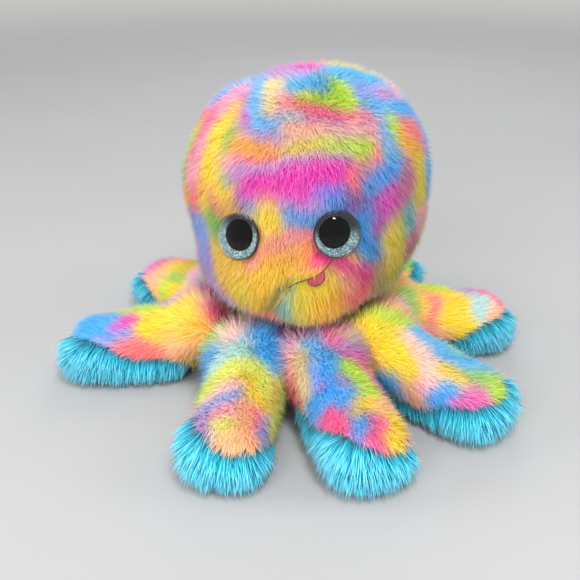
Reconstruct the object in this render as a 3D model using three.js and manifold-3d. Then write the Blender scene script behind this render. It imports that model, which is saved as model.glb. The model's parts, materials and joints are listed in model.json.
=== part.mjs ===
// A sitting plush octopus: a stuffed head of three sewn panels on a round base, and eight stuffed arms
// sewn into the seam between head and base, each with a patterned cover above and a shaggy sole below.
// Millimetres, +Z up, the face towards -Y. The origin is the middle of the base, on the surface it sits on.
// Covers are drawn as thick as their backing and pile together, to the middle of the pile.

import * as THREE from 'three';
import { mergeVertices } from 'three/addons/utils/BufferGeometryUtils.js';
import Module from 'manifold-3d';

const wasm = await Module();
wasm.setup();

// Fits shared by the whole toy
const fitGap = 0.4; // between two pieces that touch on the real toy
const cutOver = 12; // how far a cutting shape runs past what it cuts
const restCut = 0.5; // depth that the surface presses flat under each arm
const weldGap = 0.001; // corners nearer than this are one
const degree = Math.PI / 180;

// Head
const headRadius = 96; // at the widest level
const toyHeight = 254; // surface to crown
const widestLevel = 167; // height of the widest level
const bodyFootLevel = 22; // height at which the head's lower half would close, if it ran on
const crownRise = toyHeight - widestLevel;
const bodyDrop = widestLevel - bodyFootLevel;
const coverThickness = 8; // backing and pile on the head
const coverRim = 54; // height of the head panels' lower edge
const rimEdge = 1.6; // what is left of the cover's thickness where it is sewn in
const rimPinchSpread = 8; // height over which the cover is drawn in to that seam
const headLean = 9; // how far the upper half leans over to its left
const muzzleOut = 11; // how far the muzzle stands out
const muzzleSide = 8; // the face's middle to the middle of the muzzle, to the right
const muzzleDrop = 50; // widest level to the middle of the muzzle
const muzzleWide = 40; // spread of the muzzle to either side
const muzzleTall = 24; // and up and down
const chinOut = 8; // the chin stands out on the other side, and lower
const chinSide = 20;
const chinDrop = 72;
const chinWide = 26;
const chinTall = 15;
const headColumns = 28;
const headRows = [77, 62, 47, 33, 19, 5, -8, -19, -28, -36, -43];
const coreRows = [72, 52, 32, 12, -8, -24, -36];

// Seams between the head's centre panel and its side panels, as seen from the front
const sidePanelCrown = 58; // how far a side panel reaches in from the head's side at the crown
const sidePanelWidest = 29; // and at the widest level
const panelHalfCrown = headRadius - sidePanelCrown;
const panelHalfWidest = headRadius - sidePanelWidest;
const panelHalfRim = 46;
const panelSeamGroove = 4; // depth that the seam is pulled in
const panelSeamSpread = 10; // and half its width
const panelSeamSteps = 5;

// Base panel
const baseThickness = 4.5;
const baseFlatRadius = 40; // the part of the base that rests on the surface
const baseFlangeRise = 8; // how far the base is sewn up inside the head cover
const footOutShare = 0.6; // the base's foot, as shares of the way out and up to its edge
const footUpShare = 0.3;

// Arms
const armCount = 8;
const armLength = 139; // seam to tip
const armHalfWidth = 33.5; // at the widest
const armRootHalfWidth = 18;
const armRootRadius = 5.5; // half the pinched thickness at the seam
const armHeight = 63; // highest point of an arm's back
const armTipHeight = 53; // height at the start of the rounded tip
const armTipRound = 28; // length of the rounded tip
const armLanding = 42; // seam to where the sole meets the surface
const armCrest = 54; // seam to the highest point
const armWidest = 60; // seam to the widest point
const armCoverThickness = 7;
const armSoleThickness = 8;
const armSoleRise = 24; // height of the seam between cover and sole along the sides
const armTipSoleRise = 45; // and round the tip, where the sole turns up
const armTipSoleLength = 39; // length of the end where that seam climbs
const armPinchLength = 17; // length at the root that holds no stuffing
const armSides = 12;
const armTipLevelShare = 0.42; // height of the foremost point, as a share of the tip's height
const armUpperSquareness = 0.92; // 1 is round, less is squarer
const armSoleSquareness = 0.68;
const armStationShares = [0, 0.12, 0.28, 0.47, 0.68, 0.87, 0.97];
const armCoreShares = [0.06, 0.3, 0.6, 0.88];

// Where each arm lies: the angle by which it is turned from straight out, in degrees,
// positive anticlockwise seen from above. Arms run anticlockwise from the left of the chin.
const armLayout = [
  { name: 'front_left', splay: 22 },
  { name: 'front_right', splay: 6 },
  { name: 'right_front', splay: -7 },
  { name: 'right_rear', splay: -2 },
  { name: 'rear_right', splay: -4 },
  { name: 'rear_left', splay: -8 },
  { name: 'left_rear', splay: -15 },
  { name: 'left_front', splay: -11 },
];

// Eyes: a clear lens over a black pupil and a glitter disc, on a backplate with a post and a lock washer
const eyeRadius = 16.5;
const leftEyeDrop = 18; // widest level to the eye's middle
const rightEyeDrop = 12.5; // the right eye looks out a little higher
const eyeSpread = 35; // the face's middle to the eye's middle
const eyeTilt = 10; // degrees that the eye looks up from the cover's own slope
const eyeSeat = 5; // how deep the eye sits in the pile
const eyeDome = 7.5; // height of the lens above its rim
const eyeRimWall = 1; // wall of the lens round the discs
const eyeDiscThickness = 0.8;
const eyePlateThickness = 1.6;
const pupilRadius = 11.4;
const postRadius = 3;
const postTail = 4; // length of post past the washer
const washerRadius = 9;
const washerThickness = 1.5;
const washerSeatCut = 0.9; // depth that the backing is pressed flat under the washer
const eyeSegments = 16;
const lensSteps = 5;

// Mouth: one embroidered line, and a felt tongue under it
const mouthRadius = 1.1;
const mouthSteps = 10;
const mouthSides = 5;
const mouthDrop = 41; // widest level to the mouth's middle
const mouthSide = 19; // the face's middle to the mouth's middle, to the left
const mouthHalfWidth = 14;
const mouthRise = 17; // how much higher its left end is than its right
const mouthWave = 2.5; // how far it curves above and below a straight line
const tongueHalfWidth = 6;
const tongueLength = 7.5;
const tongueThickness = 2.4;
const tongueAlongShare = 0.62; // where on the mouth line the tongue hangs
const tongueSegments = 8;

const restLevel = 0;

// Colours, one for each material of the toy
const finishes = {
  pile: { color: '#e58ac0', roughness: 0.95, metalness: 0 },
  shag: { color: '#23b4cf', roughness: 0.95, metalness: 0 },
  backing: { color: '#d8b24a', roughness: 0.95, metalness: 0 },
  stuffing: { color: '#f2f1ec', roughness: 1, metalness: 0 },
  lens: { color: '#dfe9ee', roughness: 0.05, metalness: 0, transparent: true, opacity: 0.35 },
  pupil: { color: '#040404', roughness: 0.15, metalness: 0 },
  glitter: { color: '#9fc4cc', roughness: 0.35, metalness: 0.6 },
  plastic: { color: '#1b1b1d', roughness: 0.45, metalness: 0 },
  thread: { color: '#b3243c', roughness: 0.8, metalness: 0 },
  felt: { color: '#dd4a5e', roughness: 0.95, metalness: 0 },
};

// Small helpers

function smooth(share) {
  const t = Math.min(1, Math.max(0, share));
  return t * t * (3 - 2 * t);
}

function mix(from, to, share) {
  return from + (to - from) * share;
}

function bell(distance, spread) {
  return Math.exp(-((distance / spread) ** 2));
}

// A three.js geometry as a solid that can be cut and joined.
function solidOf(geometry) {
  const bare = geometry.clone();
  for (const name of Object.keys(bare.attributes)) {
    if (name !== 'position') bare.deleteAttribute(name);
  }
  const merged = mergeVertices(bare, weldGap);
  const index = merged.index.array;
  const kept = [];
  for (let i = 0; i < index.length; i += 3) {
    const [a, b, c] = [index[i], index[i + 1], index[i + 2]];
    if (a !== b && b !== c && c !== a) kept.push(a, b, c);
  }
  return new wasm.Manifold(new wasm.Mesh({
    numProp: 3,
    vertProperties: merged.attributes.position.array,
    triVerts: new Uint32Array(kept),
  }));
}

// And back, with flat faces.
function geometryOf(solid) {
  const mesh = solid.getMesh();
  const places = new Float32Array(mesh.numVert * 3);
  for (let i = 0; i < mesh.numVert; i += 1) {
    places.set(mesh.vertProperties.subarray(i * mesh.numProp, i * mesh.numProp + 3), i * 3);
  }
  const shared = new THREE.BufferGeometry();
  shared.setAttribute('position', new THREE.BufferAttribute(places, 3));
  shared.setIndex(new THREE.BufferAttribute(new Uint32Array(mesh.triVerts), 1));
  const flat = shared.toNonIndexed();
  flat.computeVertexNormals();
  return flat;
}

function piece(name, shape, finish) {
  const geometry = shape.isBufferGeometry ? shape : geometryOf(shape);
  const mesh = new THREE.Mesh(geometry, new THREE.MeshStandardMaterial(finishes[finish]));
  mesh.name = name;
  return mesh;
}

// A closed skin over rings of points, with a point at each end. Rings run anticlockwise seen from the
// far end, so that the faces point out.
function closedSkin(start, rings, end) {
  const sides = rings[0].length;
  const points = [start, ...rings.flat(), end];
  const last = points.length - 1;
  const faces = [];
  for (let k = 0; k < sides; k += 1) {
    const next = (k + 1) % sides;
    faces.push(0, 1 + next, 1 + k);
    for (let i = 0; i + 1 < rings.length; i += 1) {
      const here = 1 + i * sides;
      const beyond = here + sides;
      faces.push(here + k, here + next, beyond + next, here + k, beyond + next, beyond + k);
    }
    const rim = 1 + (rings.length - 1) * sides;
    faces.push(last, rim + k, rim + next);
  }
  const geometry = new THREE.BufferGeometry();
  geometry.setAttribute('position', new THREE.Float32BufferAttribute(points.flat(), 3));
  geometry.setIndex(faces);
  return geometry;
}

// An outline of [across, up] points, extruded to both sides of the plane y = 0.
function slab(outline, halfDepth) {
  const shape = new THREE.Shape(outline.map(([across, up]) => new THREE.Vector2(across, up)));
  const geometry = new THREE.ExtrudeGeometry(shape, { depth: halfDepth * 2, bevelEnabled: false });
  return geometry.translate(0, 0, -halfDepth).rotateX(90 * degree);
}

// A turned shape about the z axis, from [radius, height] points.
function turned(profile, segments) {
  const points = profile.map(([radius, height]) => new THREE.Vector2(radius, height));
  return new THREE.LatheGeometry(points, segments).rotateX(90 * degree);
}

function cylinder(radius, from, to, segments) {
  return turned([[0, from], [radius, from], [radius, to], [0, to]], segments);
}

// The head's form

function plainRadius(level, inset) {
  const half = level >= widestLevel ? crownRise - inset : bodyDrop - inset;
  const share = (level - widestLevel) / half;
  return (headRadius - inset) * Math.sqrt(Math.max(0, 1 - share * share));
}

// The arms are sewn in and hinge in the groove between the head cover's edge and the base.
const flangeTop = coverRim + baseFlangeRise;
const flangeRadius = plainRadius(coverRim, coverThickness) - fitGap;
const hingeRadius = flangeRadius + fitGap + armRootRadius;
const hingeLevel = coverRim - armRootRadius - fitGap;

const rimPinch = plainRadius(coverRim, 0) - plainRadius(coverRim, coverThickness) - rimEdge;
const crownLevel = widestLevel + crownRise;

// Half the centre panel's width at a level: straight edges above the widest level, bowed ones below.
function panelHalf(level) {
  const up = Math.min(1, (level - widestLevel) / crownRise);
  if (up > 0) return mix(panelHalfWidest, panelHalfCrown, up);
  const down = Math.min(1, (widestLevel - level) / (widestLevel - coverRim));
  return mix(panelHalfRim, panelHalfWidest, Math.sqrt(1 - down * down));
}

// How far the head leans over at a level: not at all where the base is sewn in.
function leanAt(level) {
  return headLean * smooth((level - flangeTop) / (widestLevel - flangeTop));
}

// How far the face stands out of the plain form, by its place across and its level.
function faceRelief(across, level, front) {
  const clearOfRim = smooth((level - flangeTop) / chinTall);
  const drop = widestLevel - level;
  const muzzle = muzzleOut * bell(across + muzzleSide, muzzleWide) * bell(drop - muzzleDrop, muzzleTall);
  const chin = chinOut * bell(across - chinSide, chinWide) * bell(drop - chinDrop, chinTall);
  return (muzzle + chin) * clearOfRim * smooth(front);
}

function headPoint(turn, rise, inset) {
  const half = rise >= 0 ? crownRise - inset : bodyDrop - inset;
  const level = widestLevel + half * Math.sin(rise);
  const plain = (headRadius - inset) * Math.cos(rise);
  const across = plain * Math.sin(turn);
  const pinch = inset > 0 ? 0 : rimPinch * Math.exp(-Math.abs(level - coverRim) / rimPinchSpread);
  const nearCrown = smooth((plain - panelHalfCrown / 2) / panelHalfCrown);
  const groove = panelSeamGroove * bell(Math.abs(across) - panelHalf(level), panelSeamSpread) * nearCrown;
  const relief = faceRelief(across, level, Math.cos(turn));
  const clearOfRim = smooth((level - flangeTop) / rimPinchSpread);
  const radius = plain - pinch - groove * clearOfRim + relief;
  return [leanAt(level) + radius * Math.sin(turn), -radius * Math.cos(turn), level];
}

// The angle below the widest level at which a level of the lower half lies.
function riseAt(level, inset) {
  return Math.asin((level - widestLevel) / (bodyDrop - inset)) / degree;
}

// The head's form with rings at the rows given, in degrees, and below them at the levels given.
function headForm(inset, rows, levels) {
  const rises = [...rows, ...levels.map((level) => riseAt(level, inset))];
  const rings = rises.map((rise) => {
    const ring = [];
    for (let k = 0; k < headColumns; k += 1) {
      ring.push(headPoint((k / headColumns) * 360 * degree, rise * degree, inset));
    }
    return ring;
  });
  const foot = rings[rings.length - 1][0][2];
  return solidOf(closedSkin([0, 0, foot], rings.reverse(), [headLean, 0, crownLevel - inset]));
}

// The space inside the head covers, with rings at both edges of the base's flange.
function headInside(inset) {
  return headForm(inset, coreRows, [flangeTop, coverRim, hingeLevel]);
}

// The place on the cover at an angle round the head and a level, and the way it faces.
function onCover(turn, level) {
  const half = level >= widestLevel ? crownRise : bodyDrop;
  const rise = Math.asin((level - widestLevel) / half);
  const step = degree;
  const here = new THREE.Vector3(...headPoint(turn, rise, 0));
  const round = new THREE.Vector3(...headPoint(turn + step, rise, 0)).sub(here);
  const up = new THREE.Vector3(...headPoint(turn, rise + step, 0)).sub(here);
  return { here, out: round.cross(up).normalize() };
}

// The place on the cover at a distance across the face and a level.
function onFace(across, level) {
  return onCover(Math.asin(across / plainRadius(level, 0)), level);
}

// Turns local z to face out of the cover at a place, and local x to lie along it.
function standOn({ here, out }, depth, along = new THREE.Vector3(1, 0, 0)) {
  const up = new THREE.Vector3().crossVectors(out, along).normalize();
  const side = new THREE.Vector3().crossVectors(up, out);
  const place = new THREE.Matrix4().makeBasis(side, up, out);
  return place.setPosition(here.clone().addScaledVector(out, -depth));
}

// Mouth and tongue

const mouthLevel = widestLevel - mouthDrop;

function mouthPoint(share) {
  const across = mouthSide + mix(-mouthHalfWidth, mouthHalfWidth, share);
  const straight = mix(mouthLevel - mouthRise / 2, mouthLevel + mouthRise / 2, share);
  const level = straight + mouthWave * Math.sin(share * 360 * degree);
  return onFace(across, level);
}

function mouthTube(radius) {
  const points = [];
  for (let i = 0; i <= mouthSteps; i += 1) points.push(mouthPoint(i / mouthSteps).here);
  const shape = new THREE.Shape();
  for (let k = 0; k < mouthSides; k += 1) {
    const turn = (k / mouthSides) * 360 * degree;
    const corner = new THREE.Vector2(radius * Math.cos(turn), radius * Math.sin(turn));
    if (k === 0) shape.moveTo(corner.x, corner.y);
    else shape.lineTo(corner.x, corner.y);
  }
  const path = new THREE.CatmullRomCurve3(points);
  return solidOf(new THREE.ExtrudeGeometry(shape, { steps: mouthSteps, extrudePath: path, bevelEnabled: false }));
}

function tongueSolid(grow, outward) {
  const top = -(mouthRadius + 2 * fitGap) + grow;
  const half = tongueHalfWidth + grow;
  const outline = [];
  for (let i = 0; i <= tongueSegments; i += 1) {
    const turn = (i / tongueSegments) * 180 * degree;
    outline.push(new THREE.Vector2(half * Math.cos(turn), top - (tongueLength + grow) * Math.sin(turn)));
  }
  const depth = tongueThickness + grow + outward;
  const flat = new THREE.ExtrudeGeometry(new THREE.Shape(outline.reverse()), { depth, bevelEnabled: false });
  flat.translate(0, 0, -tongueThickness / 2 - grow);
  const before = mouthPoint(tongueAlongShare - 1 / mouthSteps).here;
  const along = mouthPoint(tongueAlongShare + 1 / mouthSteps).here.sub(before);
  return solidOf(flat.applyMatrix4(standOn(mouthPoint(tongueAlongShare), 0, along)));
}

// Eyes

const eyeWeb = coverThickness - eyeSeat - washerSeatCut; // backing left between eye and washer
const plateTop = fitGap + eyePlateThickness;
const glitterFoot = plateTop + fitGap;
const pupilFoot = glitterFoot + eyeDiscThickness + fitGap;
const lensRecess = pupilFoot + eyeDiscThickness + fitGap;
const washerTop = -eyeWeb - fitGap;
const washerFoot = washerTop - washerThickness;
const postFoot = washerFoot - postTail;

function eyePlace(side) {
  const drop = side < 0 ? leftEyeDrop : rightEyeDrop;
  const spot = onFace(side * eyeSpread, widestLevel - drop);
  const across = new THREE.Vector3(0, 0, 1).cross(spot.out).normalize();
  spot.out.applyAxisAngle(across, -eyeTilt * degree);
  return standOn(spot, eyeSeat);
}

function lensShape() {
  const inner = eyeRadius - eyeRimWall;
  const dome = [];
  for (let i = 0; i <= lensSteps; i += 1) {
    const turn = (i / lensSteps) * 90 * degree;
    dome.push([eyeRadius * Math.cos(turn), lensRecess + eyeDome * Math.sin(turn)]);
  }
  dome[lensSteps][0] = 0;
  const foot = plateTop + fitGap;
  return turned([[0, lensRecess], [inner, lensRecess], [inner, foot], [eyeRadius, foot], ...dome], eyeSegments);
}

function eyePieces(side, sideName) {
  const place = eyePlace(side);
  const discRadius = eyeRadius - eyeRimWall - fitGap;
  const plate = turned([
    [0, postFoot], [postRadius, postFoot], [postRadius, fitGap], [eyeRadius, fitGap],
    [eyeRadius, plateTop], [0, plateTop],
  ], eyeSegments);
  const glitter = cylinder(discRadius, glitterFoot, glitterFoot + eyeDiscThickness, eyeSegments);
  const pupil = cylinder(pupilRadius, pupilFoot, pupilFoot + eyeDiscThickness, eyeSegments);
  const bore = postRadius + fitGap;
  const washer = turned([
    [bore, washerFoot], [washerRadius, washerFoot + washerThickness / 2], [washerRadius, washerTop],
    [bore, washerTop], [bore, washerFoot],
  ], eyeSegments);
  const made = [
    piece(`${sideName}_eye_lens`, lensShape(), 'lens'),
    piece(`${sideName}_eye_pupil`, pupil, 'pupil'),
    piece(`${sideName}_eye_glitter_disc`, glitter, 'glitter'),
    piece(`${sideName}_eye_backplate`, plate, 'plastic'),
    piece(`${sideName}_eye_washer`, washer, 'plastic'),
  ];
  for (const mesh of made) mesh.geometry.applyMatrix4(place);
  return made;
}

function eyePocket(side) {
  const place = eyePlace(side);
  const seat = cylinder(eyeRadius + fitGap, 0, eyeSeat + cutOver, eyeSegments);
  return solidOf(seat.applyMatrix4(place));
}

function postBore(side) {
  return solidOf(cylinder(postRadius + fitGap, -coverThickness, fitGap, eyeSegments).applyMatrix4(eyePlace(side)));
}

function washerPocket(side) {
  const foot = postFoot - fitGap;
  return solidOf(cylinder(washerRadius + fitGap, foot, -eyeWeb, eyeSegments).applyMatrix4(eyePlace(side)));
}

// Head covers, stuffing and base

function panelBand(grow) {
  const foot = coverRim - cutOver;
  const top = crownLevel + cutOver;
  const levels = [foot];
  for (let i = 0; i <= panelSeamSteps; i += 1) {
    levels.push(widestLevel - (widestLevel - coverRim) * Math.cos((i / panelSeamSteps) * 90 * degree));
  }
  for (let i = 1; i <= panelSeamSteps; i += 1) levels.push(widestLevel + (crownRise * i) / panelSeamSteps);
  levels.push(top);
  const edge = (side) => levels.map((level) => [leanAt(level) + side * (panelHalf(level) + grow), level]);
  return solidOf(slab([...edge(1), ...edge(-1).reverse()], headRadius + cutOver));
}

function headPieces() {
  const outer = headForm(0, headRows, [coverRim + rimPinchSpread / 2, coverRim, hingeLevel]);
  const cavity = headInside(coverThickness);
  const tall = crownLevel + cutOver;
  const wide = headRadius + muzzleOut + cutOver;
  const aboveRim = solidOf(cylinder(wide, coverRim, tall, headColumns));
  const shell = outer.subtract(cavity).intersect(aboveRim);

  let centre = shell.intersect(panelBand(-fitGap / 2));
  for (const side of [-1, 1]) {
    centre = centre.subtract(eyePocket(side)).subtract(postBore(side)).subtract(washerPocket(side));
  }
  centre = centre.subtract(mouthTube(mouthRadius + fitGap)).subtract(tongueSolid(fitGap, cutOver));
  const sides = shell.subtract(panelBand(fitGap / 2));
  const halfSpace = solidOf(slab([[0, 0], [wide, 0], [wide, tall], [0, tall]], wide));

  const core = headInside(coverThickness + fitGap);
  let stuffing = core.intersect(solidOf(cylinder(wide, flangeTop + fitGap, tall, headColumns)));
  stuffing = stuffing.add(baseFilling());
  for (const side of [-1, 1]) {
    stuffing = stuffing.subtract(washerPocket(side));
  }
  return [
    piece('head_centre_panel', centre, 'pile'),
    piece('head_right_panel', sides.intersect(halfSpace), 'pile'),
    piece('head_left_panel', sides.subtract(halfSpace), 'pile'),
    piece('head_stuffing', stuffing, 'stuffing'),
    piece('base_panel', basePanel(), 'backing'),
    piece('mouth_stitching', mouthTube(mouthRadius), 'thread'),
    piece('tongue', tongueSolid(0, 0), 'felt'),
  ];
}

// The base is a shallow bowl with its edge sewn up inside the head cover.
function bowlOutline(inset) {
  const edge = coverRim - armRootRadius * 2;
  const footLift = inset * (1 - footOutShare);
  return [
    [0, restLevel + inset],
    [baseFlatRadius - inset, restLevel + inset],
    [mix(baseFlatRadius, flangeRadius, footOutShare) - inset, mix(restLevel, edge, footUpShare) + footLift],
    [flangeRadius - inset, edge],
    [flangeRadius - inset, coverRim],
    [plainRadius(flangeTop, coverThickness) - fitGap - inset, flangeTop],
  ];
}

function basePanel() {
  const outside = bowlOutline(0);
  const inside = bowlOutline(baseThickness);
  return solidOf(turned([...outside, ...inside.reverse()], headColumns));
}

function baseFilling() {
  const outline = bowlOutline(baseThickness + fitGap);
  const [radius] = outline[outline.length - 1];
  outline.push([radius, flangeTop + cutOver], [0, flangeTop + cutOver]);
  return solidOf(turned(outline, headColumns));
}

// An arm lies along local x from its seam, with local z measured from the seam's level.

function armSection(along, inset, soleInset) {
  const roundFrom = armLength - armTipRound;
  const past = Math.max(0, along - roundFrom) / (armTipRound - inset);
  const round = Math.sqrt(Math.max(0, 1 - past * past));
  const floor = -(hingeLevel + restCut);
  const crest = armHeight - hingeLevel;
  const tip = armTipHeight - hingeLevel;
  const rising = mix(armRootRadius, crest, smooth(along / armCrest));
  const falling = mix(0, tip - crest, smooth((along - armCrest) / (roundFrom - armCrest)));
  const top = rising + falling - inset;
  const sole = mix(-armRootRadius, floor, smooth(along / armLanding)) + soleInset;
  const widening = smooth((along + armRootRadius) / (armWidest + armRootRadius));
  const half = mix(armRootHalfWidth, armHalfWidth, widening) - inset;
  const level = mix(floor, tip, armTipLevelShare);
  return {
    half: half * Math.sqrt(round),
    top: mix(level, top, round),
    sole: mix(level, sole, Math.sqrt(round)),
  };
}

function armRing(along, inset, soleInset) {
  const { half, top, sole } = armSection(along, inset, soleInset);
  const middle = (top + sole) / 2;
  const tall = (top - sole) / 2;
  const ring = [];
  for (let k = 0; k < armSides; k += 1) {
    const turn = (k / armSides) * 360 * degree;
    const power = Math.sin(turn) >= 0 ? armUpperSquareness : armSoleSquareness;
    const across = Math.sign(Math.cos(turn)) * Math.abs(Math.cos(turn)) ** power;
    const up = Math.sign(Math.sin(turn)) * Math.abs(Math.sin(turn)) ** power;
    ring.push([along, half * across, middle + tall * up]);
  }
  return ring;
}

function armOutside() {
  const rings = armStationShares.map((share) => armRing(share * armLength, 0, 0));
  const level = armSection(armLength, 0, 0).top;
  const skin = solidOf(closedSkin([-armRootRadius, 0, 0], rings, [armLength, 0, level]));
  const tall = armHeight + armRootRadius;
  const wide = armHalfWidth + cutOver;
  const room = [[-cutOver, -hingeLevel], [armLength + cutOver, -hingeLevel],
    [armLength + cutOver, tall], [-cutOver, tall]];
  return skin.intersect(solidOf(slab(room, wide)));
}

function armInside(extra) {
  const start = armPinchLength + extra;
  const end = armLength - armSoleThickness - extra;
  const place = (share) => mix(start, end, share);
  const inset = armCoverThickness + extra;
  const soleInset = armSoleThickness + extra;
  const rings = armCoreShares.map((share) => armRing(place(share), inset, soleInset));
  const middle = (along) => {
    const { top, sole } = armSection(along, inset, soleInset);
    return (top + sole) / 2;
  };
  return solidOf(closedSkin([start, 0, middle(start)], rings, [end, 0, middle(end)]));
}

// The side view of what lies above the seam between cover and sole.
function aboveSoleSeam(lift) {
  const side = armSoleRise - hingeLevel + lift;
  const tip = armTipSoleRise - hingeLevel + lift;
  const tall = armHeight + armRootRadius;
  const outline = [
    [-cutOver, lift],
    [armRootRadius, lift],
    [armLanding, side],
    [armLength - armTipSoleLength, side],
    [armLength, tip],
    [armLength + cutOver, tip],
    [armLength + cutOver, tall],
    [-cutOver, tall],
  ];
  return solidOf(slab(outline, armHalfWidth + cutOver));
}

function armPieces(name) {
  const outside = armOutside();
  const shell = outside.subtract(armInside(0));
  const cover = shell.intersect(aboveSoleSeam(fitGap / 2));
  const sole = shell.subtract(aboveSoleSeam(-fitGap / 2));
  return [
    piece(`${name}_arm_cover`, cover, 'pile'),
    piece(`${name}_arm_sole`, sole, 'shag'),
    piece(`${name}_arm_stuffing`, armInside(fitGap), 'stuffing'),
  ];
}

function arm(order) {
  const { name, splay } = armLayout[order];
  const pitch = 360 / armCount;
  const turn = (order - 0.5) * pitch * degree; // anticlockwise from the front, seen from above
  const group = new THREE.Group();
  group.position.set(hingeRadius * Math.sin(turn), -hingeRadius * Math.cos(turn), hingeLevel);
  group.rotation.z = turn - 90 * degree + splay * degree;
  for (const mesh of armPieces(name)) group.add(mesh);
  return group;
}

// The toy

const octopus = new THREE.Group();
for (const mesh of headPieces()) octopus.add(mesh);
for (const [side, sideName] of [[-1, 'left'], [1, 'right']]) {
  for (const mesh of eyePieces(side, sideName)) octopus.add(mesh);
}
for (let order = 0; order < armCount; order += 1) octopus.add(arm(order));

export default octopus;
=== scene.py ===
# %% [markdown]
# # A plush octopus in tie-dyed pile
#
# The toy is a stuffed head with eight stuffed arms. Long pile in rainbow dye covers the head and
# the backs of the arms, and a longer turquoise shag covers the soles. The measured model gives every
# place and size, so it is loaded first and kept as a frame. The covers are then blown up from it,
# and each strand of pile is planted on them as a real, thin solid.

# %% Load the frame
import json
import math

import bpy
import numpy as np
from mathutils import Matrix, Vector, noise
from mathutils.bvhtree import BVHTree


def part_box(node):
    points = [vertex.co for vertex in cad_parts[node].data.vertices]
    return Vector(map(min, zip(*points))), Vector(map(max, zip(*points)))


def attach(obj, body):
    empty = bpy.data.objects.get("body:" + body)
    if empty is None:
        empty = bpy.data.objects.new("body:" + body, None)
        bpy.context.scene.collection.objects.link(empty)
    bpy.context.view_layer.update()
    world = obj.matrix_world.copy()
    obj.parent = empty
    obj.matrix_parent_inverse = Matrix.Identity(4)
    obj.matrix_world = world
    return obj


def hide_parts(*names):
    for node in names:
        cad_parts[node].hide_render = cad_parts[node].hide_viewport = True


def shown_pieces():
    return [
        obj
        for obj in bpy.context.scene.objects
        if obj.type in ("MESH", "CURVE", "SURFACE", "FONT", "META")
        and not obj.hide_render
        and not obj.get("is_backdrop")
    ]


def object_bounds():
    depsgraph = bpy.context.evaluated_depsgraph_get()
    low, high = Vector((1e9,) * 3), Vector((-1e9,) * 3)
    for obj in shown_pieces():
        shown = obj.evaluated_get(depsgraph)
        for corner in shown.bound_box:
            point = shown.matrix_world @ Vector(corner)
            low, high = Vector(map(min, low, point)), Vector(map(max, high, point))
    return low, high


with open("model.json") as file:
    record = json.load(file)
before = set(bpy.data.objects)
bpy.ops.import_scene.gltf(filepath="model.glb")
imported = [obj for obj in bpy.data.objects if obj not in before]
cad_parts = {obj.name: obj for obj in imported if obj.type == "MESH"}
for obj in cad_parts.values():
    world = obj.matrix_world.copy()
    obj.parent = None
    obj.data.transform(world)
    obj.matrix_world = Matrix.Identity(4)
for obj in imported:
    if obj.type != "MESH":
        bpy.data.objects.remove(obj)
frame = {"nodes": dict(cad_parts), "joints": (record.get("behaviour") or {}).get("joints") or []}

noise.seed_set(7)  # without a seed, noise_vector gives other directions in each run
cad_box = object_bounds()
scene = bpy.context.scene
print("frame:", len(frame["nodes"]), "solids, box from", cad_box[0][:], "to", cad_box[1][:])

# %% [markdown]
# ## The camera
#
# The photograph was taken from in front, a little to the toy's left, looking down by a quarter of a
# right angle. A camera could be set by eye, but then every piece would be judged against the wrong
# view. Here its place was worked out from the two eyes, the mouth and the tips of the arms.

# %% Helper for objects
def placed(name, data):
    """A new object in the scene, at the origin."""
    made = bpy.data.objects.new(name, data)
    scene.collection.objects.link(made)
    return made


# %% Camera
photo_side = 580  # pixels
view_turn, view_tilt = math.radians(9.37), math.radians(25.12)
view_distance = 0.68454
focal_pixels = 829.54
aim_aside, aim_height = -0.00414, 0.06908

view_back = Vector((math.sin(view_turn) * math.cos(view_tilt),
                    -math.cos(view_turn) * math.cos(view_tilt), math.sin(view_tilt)))
view_right = Vector((math.cos(view_turn), math.sin(view_turn), 0))
scene.camera = camera = placed("camera", bpy.data.cameras.new("camera"))
camera.location = view_right * aim_aside + Vector((0, 0, aim_height)) + view_back * view_distance
camera.rotation_euler = (-view_back).to_track_quat("-Z", "Y").to_euler()
camera.data.lens = focal_pixels / photo_side * camera.data.sensor_width
bpy.context.view_layer.update()
camera_place = camera.matrix_world.translation.copy()
camera_turn = camera.matrix_world.to_3x3()


def sight(x, y):
    """The direction in which the camera sees a pixel of the photograph."""
    half = photo_side / 2
    return (camera_turn @ Vector(((x - half) / focal_pixels, (half - y) / focal_pixels, -1))).normalized()


print("camera at", [round(v, 3) for v in camera_place], "lens", round(camera.data.lens, 1), "mm")

# %% [markdown]
# ## Nodes without tears
#
# Every material and every tree of Geometry Nodes below is a handful of nodes that are set and linked.
# Written out, each takes three or four lines. One short helper that makes a node, sets it and links
# it keeps each of them on one line, so that a tree reads from top to bottom like a recipe.

# %% Helpers for nodes
def put(tree, kind, inputs=None, **settings):
    """A new node with its properties set. Each input is given a value, or a link from another node."""
    node = tree.nodes.new(kind)
    for key, value in settings.items():
        setattr(node, key, value)
    for socket, source in (inputs or {}).items():
        if isinstance(source, bpy.types.NodeSocket):
            tree.links.new(source, node.inputs[socket])
        else:
            node.inputs[socket].default_value = source
    return node


def maths(tree, operation, *values):
    """The result of an operation on numbers."""
    return put(tree, "ShaderNodeMath", dict(enumerate(values)), operation=operation).outputs[0]


def vectors(tree, operation, *values, **named):
    """The result of an operation on directions or colours."""
    inputs = {**dict(enumerate(values)), **named}
    return put(tree, "ShaderNodeVectorMath", inputs, operation=operation).outputs["Vector"]


def new_group(name, kind, inputs, outputs):
    """A group of nodes: the tree, its two ends, and the identifiers of its inputs."""
    tree = bpy.data.node_groups.new(name, kind)
    ids = {}
    for way, sockets in (("OUTPUT", outputs), ("INPUT", inputs)):
        for label, (sort, value) in sockets.items():
            socket = tree.interface.new_socket(label, in_out=way, socket_type="NodeSocket" + sort)
            if value is not None:
                socket.default_value = value
            ids[label] = socket.identifier
    return tree, put(tree, "NodeGroupInput").outputs, put(tree, "NodeGroupOutput").inputs, ids


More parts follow.
